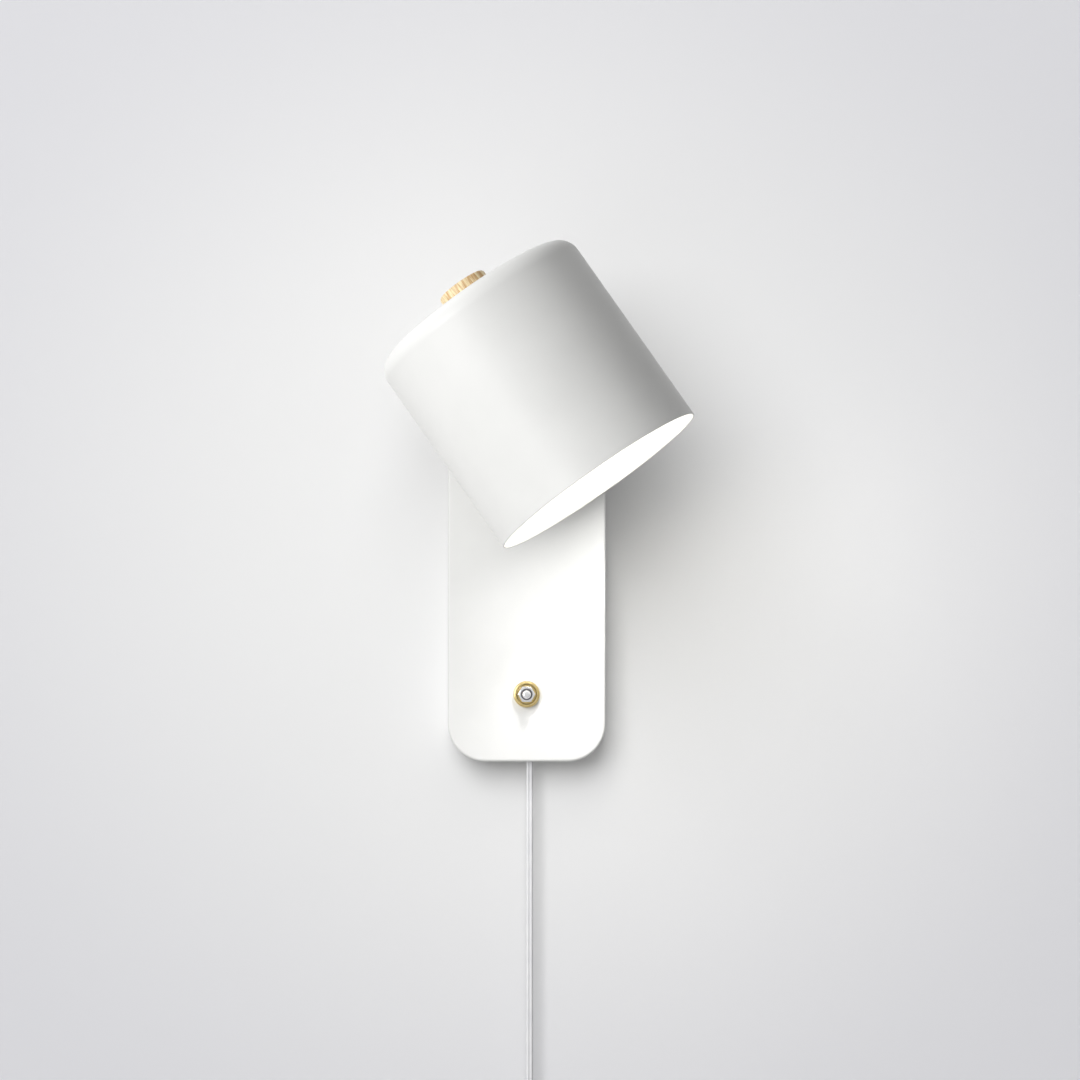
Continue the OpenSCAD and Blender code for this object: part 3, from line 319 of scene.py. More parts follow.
def plug_grid(columns=96):
    """The plug's grid: a stadium outline whose half width and half depth ease, row by row, from the
    pins' face over the shoulders to the relief, where fine ribs make them wave."""
    face = plug_low.z
    shoulder = face + shoulder_length
    neck = plug_high.z - relief_length
    third = plug_round / 3
    edge = [(face, -plug_round), (face + third, -third), (face + plug_round, 0), (shoulder, 0)]
    body = [(z, plug_half_width + d, plug_half_depth + d) for z, d in edge]
    s = np.linspace(0.08, 1, 14)
    ease = s * s * (3 - 2 * s)
    shoulders = np.column_stack([
        shoulder + s * (neck - shoulder),
        plug_half_width + ease * (relief_half_width - plug_half_width),
        plug_half_depth + ease * (relief_half_depth - plug_half_depth),
    ])
    s = np.linspace(0.04, 1, 40)
    rib = rib_height * (np.cos(2 * np.pi * relief_ribs * s) - 1)
    relief = np.column_stack([
        neck + s * relief_length,
        relief_half_width - s * (relief_half_width - cord_width / 2 - relief_wall) + rib,
        relief_half_depth - s * (relief_half_depth - cord_thickness / 2 - relief_wall) + rib,
    ])
    z, a, b = (k[:, None] for k in np.vstack([body, shoulders, relief]).T)
    angle = np.linspace(0, 2 * np.pi, columns, endpoint=False)[None]
    x = np.sign(np.cos(angle)) * (a - b) * np.minimum(1, abs(np.cos(angle)) * 4) + b * np.cos(angle)
    return np.stack([plug_middle.x + x, plug_middle.y + b * np.sin(angle), z + 0 * angle], -1)


moulded_white = finish_of("moulded white plastic", tone(236, 236, 234), 0.36, Specular_IOR_Level=0.5)
wear(moulded_white, "Base Color", 70, 2, tone(231, 231, 229), tone(240, 240, 238))
wear(moulded_white, "Roughness", 240, 3, 0.30, 0.44)
dents(moulded_white, lumps(moulded_white, 2600, 2), 0.00003, 0.5)

plug = surface("plug_moulding", plug_grid())
dress(plug, moulded_white, "wall_part", ["plug_body"])
repaint(moulded_white, "plug_sleeves")

nickel = finish_of("bright nickel", tone(240, 240, 240), 0.2, Metallic=1.0)
wear(nickel, "Roughness", 900, 3, 0.16, 0.26)
repaint(nickel, "plug_pins")

strap_angle = 62
strap_width = 0.008
strap_thickness = 0.001
strap_corner = 0.001
strap_edge = 0.00025
strap_room = 0.0004


def round_box(half_x, half_y, corner, radius, steps):
    """The outline of a rectangle with round corners: four quarter circles of a radius, whose centres
    stand one corner in from both sides."""
    quarter = np.linspace(0, np.pi / 2, steps)
    angle = np.concatenate([quarter + k * np.pi / 2 for k in range(4)])
    x = np.repeat([1, -1, -1, 1], steps) * (half_x - corner) + radius * np.cos(angle)
    y = np.repeat([1, 1, -1, -1], steps) * (half_y - corner) + radius * np.sin(angle)
    return x, y


def strap_grid():
    """The strap's grid: a rectangle with round corners, carried across the cord's turns, as an outer
    and an inner outline at both edges of the strap, which are rounded over."""
    inner = coil_radius - coil_step * coil_turns / 2 - cord_thickness / 2 - strap_room
    outer = coil_radius + cord_thickness / 2 + strap_room
    half_y = (coil_layer + cord_width) / 2 + strap_room
    faces = [(0, strap_edge), (strap_edge, 0)]
    faces += [(strap_thickness - strap_edge, 0), (strap_thickness, strap_edge)]
    rows = [(out, -strap_width / 2 + d) for out, d in faces]
    rows += [(out, strap_width / 2 - d) for out, d in faces[::-1]]
    out, z = (np.array(k)[:, None] for k in zip(*rows))
    x, y = round_box((outer - inner) / 2, half_y, strap_corner, strap_corner + out, 8)
    return np.stack([(inner + outer) / 2 + x, y, z + 0 * x], -1)


strap_place = Matrix.Translation(coil_centre) @ Matrix.Rotation(math.radians(-strap_angle), 4, "Y")
strap = surface("cord_strap", strap_grid(), strap_place, loop=True)
dress(strap, moulded_white, "wall_part", ["cord_tie"])

# Cover. A shallow box pressed from 1.5 mm steel, its corners and front edge rounded, then powder
# coated in a smooth white. Holes take the lamp's arm, the switch, the cord and four side screws.
cover_half_width = (cover_high.x - cover_low.x) / 2
cover_half_height = (cover_high.z - cover_low.z) / 2
cover_depth = cover_high.y - cover_low.y
cover_corner = 0.025
cover_edge = 0.0016
cover_sheet = 0.0015
cover_rim = 0.0003
swivel_z = sum(corner.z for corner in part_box("swivel_base")) / 2
switch_z = sum(corner.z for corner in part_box("switch_ring")) / 2
arm_hole = 0.0083
switch_hole = 0.0037
cord_hole = 0.0028
side_screw_head = 0.002
side_screw_hole = 0.0022
quarter_back = Matrix.Rotation(math.radians(90), 4, "X")
sideways = Matrix.Rotation(math.radians(90), 4, "Y")


def facing(z):
    """A place on the wall at a height: its own +Z is the distance from the wall, its +Y is up."""
    return Matrix.Translation((0, 0, z)) @ quarter_back


def cover_grid():
    """The cover's grid: the outline goes up the outside and over the rounded front edge, and the
    same way back down the inside. A row is an inset from the sides and a distance from the wall."""
    over = np.radians(np.linspace(0, 90, 9))
    straight = cover_depth - cover_edge
    inner = cover_edge - cover_sheet
    outside = [(cover_edge * (1 - math.cos(a)), straight + cover_edge * math.sin(a)) for a in over]
    inside = [(cover_edge - inner * math.cos(a), straight + inner * math.sin(a)) for a in over]
    rim = [(0, cover_rim), (cover_rim / 3, cover_rim / 3), (cover_rim, 0)]
    rim += [(cover_sheet - cover_rim, 0), (cover_sheet, cover_rim)]
    inset, distance = (np.array(k)[:, None] for k in zip(*outside[::-1], *rim, *inside))
    x, z = round_box(cover_half_width, cover_half_height, cover_corner, cover_corner - inset, 24)
    return np.stack([x, 0 * x - distance, z], -1)


def rounded(*corners, closed=False, steps=6):
    """A line through corners (a, b, radius). An arc at each touches both its sides: its centre lies
    on the corner's bisector, at the radius over the sine of half the corner's angle."""
    c = np.array(corners, float)
    line = []
    for k, (a, b, r) in enumerate(c):
        p = np.array([a, b])
        if r == 0 or (not closed and k in (0, len(c) - 1)):
            line.append(p)
            continue
        to_last = c[k - 1][:2] - p
        to_next = c[(k + 1) % len(c)][:2] - p
        to_last /= np.linalg.norm(to_last)
        to_next /= np.linalg.norm(to_next)
        half = math.acos(np.clip(to_last @ to_next, -1, 1)) / 2
        bisector = (to_last + to_next) / np.linalg.norm(to_last + to_next)
        centre = p + bisector * r / math.sin(half)
        start = p + to_last * r / math.tan(half) - centre
        end = p + to_next * r / math.tan(half) - centre
        first = math.atan2(start[1], start[0])
        sweep = (math.atan2(end[1], end[0]) - first + math.pi) % (2 * math.pi) - math.pi
        angle = first + sweep * np.linspace(0, 1, steps)
        line.extend(centre + r * np.column_stack([np.cos(angle), np.sin(angle)]))
    return np.array(line)


def turned(line, steps=96):
    """A lathe grid: each point (radius, height) of the line goes once round the height axis."""
    angle = np.linspace(0, 2 * np.pi, steps, endpoint=False)[None]
    radius, height = line[:, :1], line[:, 1:]
    return np.stack([radius * np.cos(angle), radius * np.sin(angle), height + 0 * angle], -1)


def rod(name, radius, low, high, place, steps=64):
    """A plain round bar between two heights, for cutting holes and joining pieces."""
    line = np.array([(0, low), (radius, low), (radius, high), (0, high)])
    return surface(name, turned(line, steps), place)


def combine(piece, others, how="DIFFERENCE"):
    """Cuts the others out of a piece, or joins them to it, and keeps only the result. Splinters that
    are thinner than a hundredth of a millimetre are merged."""
    for other in others:
        step = piece.modifiers.new("combine", "BOOLEAN")
        step.operation, step.solver, step.object = how, "EXACT", other
    shaped = bpy.data.meshes.new_from_object(piece.evaluated_get(bpy.context.evaluated_depsgraph_get()))
    shaped.name = piece.name
    skin = bmesh.new()
    skin.from_mesh(shaped)
    splinter = 1e-5
    bmesh.ops.remove_doubles(skin, verts=skin.verts, dist=splinter)
    bmesh.ops.dissolve_degenerate(skin, edges=skin.edges, dist=splinter)
    skin.to_mesh(shaped)
    skin.free()
    piece.modifiers.clear()
    piece.data = shaped
    for other in others:
        bpy.data.objects.remove(other)
    return piece


powder_white = finish_of("white powder coat", tone(240, 240, 238), 0.46, Specular_IOR_Level=0.42)
wear(powder_white, "Base Color", 26, 3, tone(238, 238, 236), tone(242, 242, 240))
wear(powder_white, "Roughness", 320, 3, 0.42, 0.50)
dents(powder_white, lumps(powder_white, 1500, 2), 0.00004, 0.35)

screw_z = max(vertex.co.z for vertex in nodes["cover_screws"].data.vertices) - side_screw_head
holes = [
    rod("arm_hole", arm_hole, 0, 0.05, facing(swivel_z)),
    rod("switch_hole", switch_hole, 0, 0.05, facing(switch_z)),
    rod("cord_hole", cord_hole, -0.01, 0.01, Matrix.Translation(cord_exit)),
]
for z in (-screw_z, screw_z):
    hole_place = Matrix.Translation((0, -cover_depth / 2, z)) @ sideways
    holes.append(rod("screw_hole", side_screw_hole, -0.06, 0.06, hole_place))
cover = combine(surface("cover_pressing", cover_grid()), holes)
dress(cover, powder_white, "wall_part", ["cover"])

# Joint places. The shade hangs from a tilting joint on a turning fork, so its pieces are shaped
# upright round their own axes, and then put where the joint holds them.
joints = {joint["name"]: joint for joint in frame["joints"]}
pivot = Vector(joints["shade_tilt"]["pos_m"])
tilt_axis = joints["shade_tilt"]["axis"]
rest_turn = math.atan2(-tilt_axis[2], -tilt_axis[0])
rest_tilt = math.radians(6)
turned_aside = Matrix.Rotation(-rest_turn, 4, "Y")
fork_place = Matrix.Translation((0, 0, pivot.z)) @ turned_aside @ quarter_back
tilt_place = Matrix.Translation(pivot) @ turned_aside @ Matrix.Rotation(-rest_tilt, 4, "X")
neck_place = tilt_place @ quarter_back


def own_box(name, place):
    """A node's lowest and highest corners, measured along a place's own axes."""
    mesh = nodes[name].data
    points = np.empty(len(mesh.vertices) * 3)
    mesh.vertices.foreach_get("co", points)
    back = np.array(place.inverted())
    own = points.reshape(-1, 3) @ back[:3, :3].T + back[:3, 3]
    return Vector(own.min(0)), Vector(own.max(0))


shade_low, shade_high = own_box("shade", tilt_place)
drum_place = tilt_place @ Matrix.Translation((0, (shade_low.y + shade_high.y) / 2, 0))
shade_place = drum_place @ Matrix.Translation((0, 0, shade_low.z))

# Shade. A drum spun from thin steel, closed at the top, where its edge rolls over in a wide round,
# and open at the mouth. It has the cover's white powder coat inside and out.
shade_radius = (shade_high.x - shade_low.x) / 2
shade_length = shade_high.z - shade_low.z
shade_sheet = 0.0008
shade_edge = 0.012
shade_rim = 0.0003
tube_hole = 0.0053

shade_line = rounded(
    (shade_radius - shade_sheet, 0, shade_rim), (shade_radius, 0, shade_rim),
    (shade_radius, shade_length, shade_edge), (tube_hole, shade_length, 0),
    (tube_hole, shade_length - shade_sheet, 0),
    (shade_radius - shade_sheet, shade_length - shade_sheet, shade_edge - shade_sheet),
    closed=True, steps=20,
)
side_hole = rod("side_hole", tube_hole, 0, 0.03, neck_place)
shade = combine(surface("shade_drum", turned(shade_line, 192), shade_place, loop=True), [side_hole])
dress(shade, powder_white, "shade_part", ["shade"])

# Wood cap. A turned disc of pale wood on the middle of the shade's top, with softened edges and a
# thin matt lacquer. A brass insert in its underside holds it on the lampholder's hollow thread.
wood_high = own_box("wood_cap", shade_place)[1]
insert_high = own_box("cap_insert", shade_place)[1]
fit_room = 0.00005
insert_hole = insert_high.x + fit_room

light_wood = finish_of("pale lacquered wood", tone(232, 200, 150), 0.5, Specular_IOR_Level=0.35)
layers = lumps(light_wood, 760, 3, (1, 30, 9), shade_place)
pores = lumps(light_wood, 2600, 2, (1, 60, 14), shade_place)
layer_tones = between(light_wood, layers, tone(252, 236, 194), tone(210, 170, 120), 0.38, 0.62)
pore_share = between(light_wood, pores, 0.0, 0.4, 0.5, 0.72)
drive(light_wood, "Base Color", mixed(light_wood, pore_share, layer_tones, tone(160, 118, 76)))
drive(light_wood, "Roughness", between(light_wood, layers, 0.42, 0.58))
dents(light_wood, pores, 0.00008, 0.4)

wood_line = rounded(
    (0, insert_high.z, 0), (insert_hole, insert_high.z, 0.0002),
    (insert_hole, shade_length, 0.0002), (wood_high.x, shade_length, 0.001),
    (wood_high.x, wood_high.z, 0.0022), (0, wood_high.z, 0), steps=10,
)
wood_disc = surface("wood_disc", turned(wood_line), shade_place)
dress(wood_disc, light_wood, "shade_part", ["wood_cap"])

# Swivel base. A turned flange with a threaded neck, clamped in the cover's front and painted like it.
# A groove in its face stops the fork's pin short of a full turn.
base_place = facing(swivel_z)
base_low, base_high = own_box("swivel_base", base_place)
stem_radius = 0.005
stem_hole = stem_radius + fit_room
neck_radius = 0.008
stop_reach = 0.0112
stop_groove = 0.0031
stop_depth = 0.0025
stop_sweep = math.radians(344)

base_line = rounded(
    (stem_hole, base_low.z, 0.0002), (neck_radius, base_low.z, 0.0004),
    (neck_radius, cover_depth, 0), (base_high.x, cover_depth, 0.0002),
    (base_high.x, base_high.z, 0.0008), (stem_hole, base_high.z, 0.0002), closed=True,
)


def stop_groove_grid(steps=120):
    """The groove's grid: a rectangle swept round the turning axis, open where the stop lug is left."""
    angle = (-np.pi / 2 - stop_sweep / 2 + stop_sweep * np.linspace(0, 1, steps))[:, None]
    radius = stop_reach + stop_groove / 2 * np.array([-1, 1, 1, -1])[None]
    height = base_high.z + np.array([-stop_depth, -stop_depth, 0.001, 0.001])[None]
    return np.stack([radius * np.cos(angle), radius * np.sin(angle), height + 0 * angle], -1)


swivel_base = surface("swivel_flange", turned(base_line), base_place, loop=True)
combine(swivel_base, [surface("stop_groove", stop_groove_grid(), base_place)])
dress(swivel_base, powder_white, "wall_part", ["swivel_base"])

# Fork. A hub on a hollow stem that turns in the base, with two round-ended ears that hold the tilting
# screw. It is cast and machined, then painted like the cover.
fork_low, fork_high = own_box("swivel_fork", fork_place)
pivot_front = -pivot.y
ear_out = 0.0087
ear_in = 0.0047
ear_edge = 0.0006
ear_radius = fork_high.z - pivot_front
hub_radius = fork_high.x
hub_back = 0.0287
hub_front = 0.0342
stem_bore = 0.00325
clip_back = 0.01155
clip_front = 0.01275
clip_radius = stem_radius - 0.0006
screw_radius = 0.0025
screw_hole = screw_radius + fit_room
pin_hole_radius = 0.0013

hub_line = rounded(
    (stem_bore, fork_low.z, 0.0003), (stem_radius, fork_low.z, 0.0003),
    (stem_radius, clip_back, 0), (clip_radius, clip_back, 0),
    (clip_radius, clip_front, 0), (stem_radius, clip_front, 0),
    (stem_radius, hub_back, 0), (hub_radius, hub_back, 0.0004),
    (hub_radius, hub_front, 0.0012), (stem_bore, hub_front, 0.0003), closed=True,
)


def ear_grid(inner, outer, steps=40):
    """An ear's grid: an outline with a round end and straight sides down into the hub, at the ear's
    two faces and, a little larger, just inside them, so that the ear's edges are rounded."""
    start = math.asin(-0.45)
    foot = 0.9
    angle = start + (np.pi - 2 * start) * np.linspace(0, 1, steps)
    edge = [(ear_edge, 0), (0.3 * ear_edge, 0.3 * ear_edge), (0, ear_edge)]
    rows = []
    for inset, x in [(i, inner + d) for i, d in edge] + [(i, outer - d) for i, d in edge[::-1]]:
        r = ear_radius - inset
        y = np.concatenate([r * np.cos(angle), [-foot * r, foot * r]])
        z = np.concatenate([pivot_front + r * np.sin(angle), [hub_front - 0.001] * 2])
        rows.append(np.column_stack([np.full_like(y, x), y, z]))
    return np.array(rows)


def cross_rod(name, radius, place, reach=0.02):
    """A rod along a place's own X axis, as far as reach to both sides."""
    return rod(name, radius, -reach, reach, place @ sideways)


pivot_place = fork_place @ Matrix.Translation((0, 0, pivot_front))
fork = surface("fork_hub", turned(hub_line), fork_place, loop=True)
ears = [
    surface("ear", ear_grid(ear_in, ear_out), fork_place),
    surface("ear", ear_grid(-ear_out, -ear_in), fork_place),
]
combine(fork, ears, "UNION")
pin_place = fork_place @ Matrix.Translation((0, -stop_reach, 0))
pin_hole = rod("pin_hole", pin_hole_radius, hub_back - 0.001, hub_back + 0.0035, pin_place)
combine(fork, [cross_rod("screw_hole", screw_hole, pivot_place), pin_hole])
dress(fork, powder_white, "fork", ["swivel_fork"])

# Tilting tongue. It sits between the ears, and its flange and hollow thread carry the shade. A slot
# leads the wires round the screw. The saddle on its flange is hollowed to the drum's own curve.
eye_radius = 0.0075
eye_half = 0.004
flange_radius = 0.011
flange_back = 0.0095
flange_front = 0.012
saddle_front = flange_front + 0.004
tongue_neck = 0.0034
wire_bore_radius = 0.0025
thread_radius = 0.005
thread_hole = thread_radius + fit_room
thread_end = own_box("tilt_eye", neck_place)[1].z
slot_half_width = 0.0022
slot_outline = [
    (0.0085, 0.0037), (0.0085, 0.0085), (-0.0079, 0.0085), (-0.0081, -0.001), (-0.005, 0.0037),
]

tongue_line = rounded(
    (0, -eye_half, 0), (eye_radius, -eye_half, 0.0005), (eye_radius, eye_half, 0.0005), (0, eye_half, 0)
)
neck_line = rounded(
    (0, 0, 0), (tongue_neck, 0, 0), (tongue_neck, flange_back, 0.0006),
    (flange_radius, flange_back, 0.0008), (flange_radius, flange_front, 0.0003),
    (thread_radius, flange_front, 0), (thread_radius, thread_end, 0.0006), (0, thread_end, 0),
)
saddle_line = rounded(
    (tube_hole, flange_front, 0.0002), (flange_radius, flange_front, 0.0003),
    (flange_radius, saddle_front, 0), (tube_hole, saddle_front, 0), closed=True,
)
tongue = surface("tilt_tongue", turned(tongue_line), tilt_place @ sideways)
combine(tongue, [surface("neck", turned(neck_line), neck_place)], "UNION")
slot_sides = (-slot_half_width, slot_half_width)
slot_grid = np.array([[(x, y, z) for y, z in slot_outline] for x in slot_sides])
wire_bore = rod("wire_bore", wire_bore_radius, 0.0065, 0.03, neck_place)
screw_bore = cross_rod("screw_bore", screw_hole, tilt_place)
combine(tongue, [screw_bore, wire_bore, surface("wire_slot", slot_grid, tilt_place)])
dress(tongue, powder_white, "shade_part", ["tilt_eye"])
saddle = surface("drum_saddle", turned(saddle_line), neck_place, loop=True)
combine(saddle, [rod("drum_room", shade_radius + fit_room, -0.1, 0.1, drum_place, 720)])
dress(saddle, powder_white, "shade_part", ["shade_saddle"])

# Screws and nuts. Bright zinc-plated steel: a low round head with a hexagon socket on the tilting
# screw, and hexagon nuts whose corners are turned off in a cone. The switch's nut is nickel-plated.
zinc_steel = finish_of("zinc-plated steel", tone(196, 199, 203), 0.3, Metallic=1.0)
wear(zinc_steel, "Base Color", 300, 3, tone(184, 188, 194), tone(206, 208, 209))
wear(zinc_steel, "Roughness", 1200, 3, 0.22, 0.40)
dents(zinc_steel, lumps(zinc_steel, 3000, 2), 0.00002, 0.4)

screw_place = pivot_place @ sideways
screw_low, screw_high = own_box("tilt_screw", screw_place)
head_radius = -screw_low.x
head_back = screw_low.z + 0.0032
socket_radius = 0.0017
socket_floor = screw_low.z + 0.002
screw_line = rounded(
    (0, screw_low.z, 0), (head_radius, screw_low.z, 0.0008), (head_radius, head_back, 0.0001),
    (screw_radius, head_back, 0), (screw_radius, screw_high.z, 0.0004), (0, screw_high.z, 0),
)
tilt_screw = surface("tilting_screw", turned(screw_line), screw_place)
socket = rod("socket", socket_radius, screw_low.z - 0.001, socket_floor, screw_place, 6)
combine(tilt_screw, [socket])
dress(tilt_screw, zinc_steel, "fork", ["tilt_screw"])


def nut_grid(flats, bore, low, high, columns=96):
    """A hexagon nut's grid. Its side is half the flats over the cosine of the angle from the flat's
    middle, and a cone takes the corners off, deepest where the side is furthest out."""
    angle = np.linspace(0, 2 * np.pi, columns, endpoint=False)[None]
    side = flats / 2 / np.cos(angle % (np.pi / 3) - np.pi / 6)
    land_share = 0.96
    land = flats / 2 * land_share
    drop = (side - land) * math.tan(math.radians(30))
    lead = 0.0003
    radius = [bore + lead, land, side, side, land, bore + lead, bore, bore]
    height = [low, low, low + drop, high - drop, high, high, high - lead, low + lead]
    r, z = (np.vstack([value + 0 * angle for value in k]) for k in (radius, height))
    return np.stack([r * np.cos(angle), r * np.sin(angle), z], -1)


def new_nut(node, place, bore, material, body):
    """A nut in a node's place, as wide and as thick as the node is."""
    low, high = own_box(node, place)
    flats = 2 * high.x * math.cos(math.radians(30))
    nut = surface(node + "_turned", nut_grid(flats, bore, low.z, high.z), place, loop=True)
    return dress(nut, material, body, [node], sharp=25)


switch_place = facing(switch_z)
switch_thread = 0.0035
new_nut("swivel_nut", base_place, neck_radius + fit_room, zinc_steel, "wall_part")
new_nut("tilt_nut", screw_place, screw_hole, zinc_steel, "fork")
new_nut("shade_nut", neck_place, thread_hole, zinc_steel, "shade_part")
new_nut("holder_nut", shade_place, thread_hole, zinc_steel, "shade_part")
switch_bore = switch_thread + fit_room
switch_nut = new_nut("switch_nut", switch_place, switch_bore, nickel, "wall_part")

# Switch. A dished brass ring, a nickel nut on a threaded neck, and a bright plunger with a round
# end that is pushed to switch the lamp. The neck is darkened as painted shade round the plunger.
brass = finish_of("pale brass", tone(208, 186, 128), 0.3, Metallic=1.0)
wear(brass, "Base Color", 260, 3, tone(202, 179, 119), tone(214, 193, 137))
wear(brass, "Roughness", 1500, 3, 0.27, 0.36)

ring_high = own_box("switch_ring", switch_place)[1]
ring_floor = own_box("switch_nut", switch_place)[0].z
ring_hollow = 0.0065
ring_line = rounded(
    (switch_hole, cover_depth, 0), (ring_high.x, cover_depth, 0.0004),
    (ring_high.x, ring_high.z, 0.0012), (ring_hollow, ring_high.z, 0.0007),
    (ring_hollow, ring_floor, 0.0005), (switch_hole, ring_floor, 0), closed=True, steps=10,
)
ring = surface("brass_ring", turned(ring_line), switch_place, loop=True)
dress(ring, brass, "wall_part", ["switch_ring"])

# Painted shade: the neck's nickel is darkened so that it reads as the shadowed gap round the plunger.
nickel_painted_shade = finish_of("dark nickel", tone(112, 112, 118), 0.34, Metallic=1.0)
wear(nickel_painted_shade, "Roughness", 1600, 3, 0.26, 0.44)
bushing_low, bushing_high = own_box("switch_bushing", switch_place)
bushing_bore = 0.00285
pitch = 0.0005
thread_depth = 0.35 * pitch


def threaded_line(radius, bore, low, high, points=8):
    """A hollow thread's outline: the outside waves in and out once every pitch."""
    z = np.linspace(low, high, round((high - low) / pitch * points) + 1)
    ridge = radius - thread_depth * (0.5 + 0.5 * np.cos(2 * np.pi * (z - low) / pitch))
    return np.vstack([[(bore, low)], np.column_stack([ridge, z]), [(bore, high)]])


neck_thread = threaded_line(bushing_high.x, bushing_bore, bushing_low.z, bushing_high.z)
neck = surface("switch_neck", turned(neck_thread, 64), switch_place, loop=True)
dress(neck, nickel_painted_shade, "wall_part", ["switch_bushing"], sharp=60)

button_low, button_high = own_box("switch_button", switch_place)
button_radius = 0.0028
button_foot = button_low.z + 0.001
button_line = rounded(
    (0, button_low.z, 0), (button_high.x, button_low.z, 0.0002),
    (button_high.x, button_foot, 0.0002), (button_radius, button_foot, 0),
    (button_radius, button_high.z, 0.0014), (0, button_high.z, 0), steps=12,
)
button = surface("switch_plunger", turned(button_line), switch_place)
dress(button, nickel, "button", ["switch_button"])

# Lampholder. A white moulded cap and skirt on the hollow thread through the shade's top. The cap has
# a hole in its side for the lead, and the skirt has fine grip ribs below its upper band.
lead_width = 0.0042
holder_low, holder_high = own_box("holder_cap", shade_place)
skirt_low, skirt_high = own_box("holder_skirt", shade_place)
holder_radius = holder_high.x
holder_wall = 0.002
skirt_lip = 0.0008
skirt_band = 0.012
rib_depth = 0.00015
lead_inlet = holder_low.z + 0.006
cap_top = holder_high.z
cap_inner = holder_radius - holder_wall

cap_line = rounded(
    (thread_hole, cap_top, 0), (0.009, cap_top, 0.0006),
    (holder_radius * 0.8, cap_top - 0.0024, 0.003), (holder_radius, cap_top - 0.0075, 0.004),
    (holder_radius, holder_low.z, 0.0002), (cap_inner, holder_low.z, 0.0002),
    (cap_inner, cap_top - 0.009, 0.003), (holder_radius * 0.55, cap_top - 0.004, 0.002),
    (thread_hole, cap_top - 0.004, 0), closed=True, steps=8,
)
inlet_place = shade_place @ Matrix.Translation((0, 0, lead_inlet)) @ quarter_back.inverted()
holder_cap = surface("holder_dome", turned(cap_line), shade_place, loop=True)
combine(holder_cap, [rod("lead_hole", lead_width / 2 + 0.0003, 0, 0.03, inlet_place)])
dress(holder_cap, moulded_white, "shade_part", ["holder_cap"])


def ribbed_skirt(columns=288, ribs=72):
    """The skirt's grid: a turned outline whose outside, between the band and the lip, waves in and
    out once for every rib."""
    low, top = skirt_low.z, skirt_high.z
    band = top - skirt_band
    outer, inner = skirt_high.x, skirt_high.x - holder_wall
    grip, throat = outer - skirt_lip, inner - skirt_lip
    rows = [
        (inner, top, 0), (throat, top - skirt_lip, 0), (throat, low + skirt_lip, 0),
        (inner - skirt_lip / 2, low, 0), (outer - skirt_lip * 1.5, low, 0),
        (grip, low + skirt_lip, 0), (grip, low + 0.003, 0), (grip, low + 0.0035, 1),
        (grip, band - 0.0015, 1), (grip, band - 0.001, 0), (grip, band, 0),
        (outer, band + skirt_lip, 0), (outer, top, 0),
    ]
    radius, height, ribbed = (np.array(k)[:, None] for k in zip(*rows))
    angle = np.linspace(0, 2 * np.pi, columns, endpoint=False)[None]
    radius = radius - rib_depth * ribbed * (1 - np.cos(ribs * angle))
    return np.stack([radius * np.cos(angle), radius * np.sin(angle), height + 0 * angle], -1)


skirt = surface("ribbed_skirt", ribbed_skirt(), shade_place, loop=True)
dress(skirt, moulded_white, "shade_part", ["holder_skirt"], sharp=50)

# Bulb. A lit opal glass globe on a white plastic collar that widens towards it. The glass shines
# evenly, and its light fills the white inside of the shade.
globe_radius = 0.030
globe_sheet = 0.0015
collar_low, collar_high = own_box("bulb_collar", shade_place)
globe_centre = own_box("bulb_globe", shade_place)[0].z + globe_radius
warm_white = tone(255, 252, 246)
opal = finish_of("lit opal glass", tone(250, 248, 244), 0.35, Emission_Color=warm_white)
wear(opal, "Emission Strength", 30, 2, 5.9, 6.1)


def globe_arc(radius, steps=48):
    """Half a circle's points, from the collar's plane down to the globe's lowest point."""
    start = math.acos((collar_low.z - globe_centre) / radius)
    angle = np.linspace(start, np.pi, steps)
    return np.column_stack([radius * np.sin(angle), globe_centre + radius * np.cos(angle)])


globe_line = np.vstack([globe_arc(globe_radius), globe_arc(globe_radius - globe_sheet)[::-1]])
globe = surface("opal_globe", turned(globe_line), shade_place, loop=True)
dress(globe, opal, "shade_part", ["bulb_globe"])
collar_line = rounded(
    (0, collar_high.z, 0), (0.0141, collar_high.z, 0.0005), (0.0145, collar_high.z - 0.002, 0.001),
    (0.016, collar_high.z - 0.009, 0.01), (collar_high.x, collar_low.z, 0), (0, collar_low.z, 0), steps=10,
)
collar = surface("bulb_neck", turned(collar_line), shade_place)
dress(collar, moulded_white, "shade_part", ["bulb_collar"])

# Lamp lead. A round white double-insulated lead. It comes out of the hollow thread in the shade's
# side and bends up to the hole in the lampholder's cap.
lead_route = [
    (0, shade_radius - 0.001, 0.091), (0, shade_radius - 0.009, 0.091), (0, shade_radius - 0.013, 0.093),
    (0, shade_radius - 0.017, 0.098), (0, shade_radius - 0.021, 0.105), (0, 0.0395, lead_inlet - 0.012),
    (0, 0.0335, lead_inlet - 0.004), (0, 0.0265, lead_inlet - 0.0005), (0, 0.0215, lead_inlet),
    (0, 0.0145, lead_inlet),
]


def round_section(diameter, steps=20):
    """The outline of a round wire."""
    angle = np.linspace(0, 2 * np.pi, steps, endpoint=False)
    return diameter / 2 * np.column_stack([np.cos(angle), np.sin(angle)])


lead_grid = carried(flowing(lead_route, 8), round_section(lead_width), (1, 0, 0))
lead = surface("lamp_lead_round", lead_grid, shade_place)
dress(lead, soft_white, "shade_part", ["lamp_lead"])

# Return spring. Plated wire wound round the switch's axis, closed at both ends. It pushes the plunger
# out.
spring_low, spring_high = own_box("switch_spring", switch_place)
spring_wire = 0.0005
spring_turns = 7
spring_radius = spring_high.x - spring_wire / 2


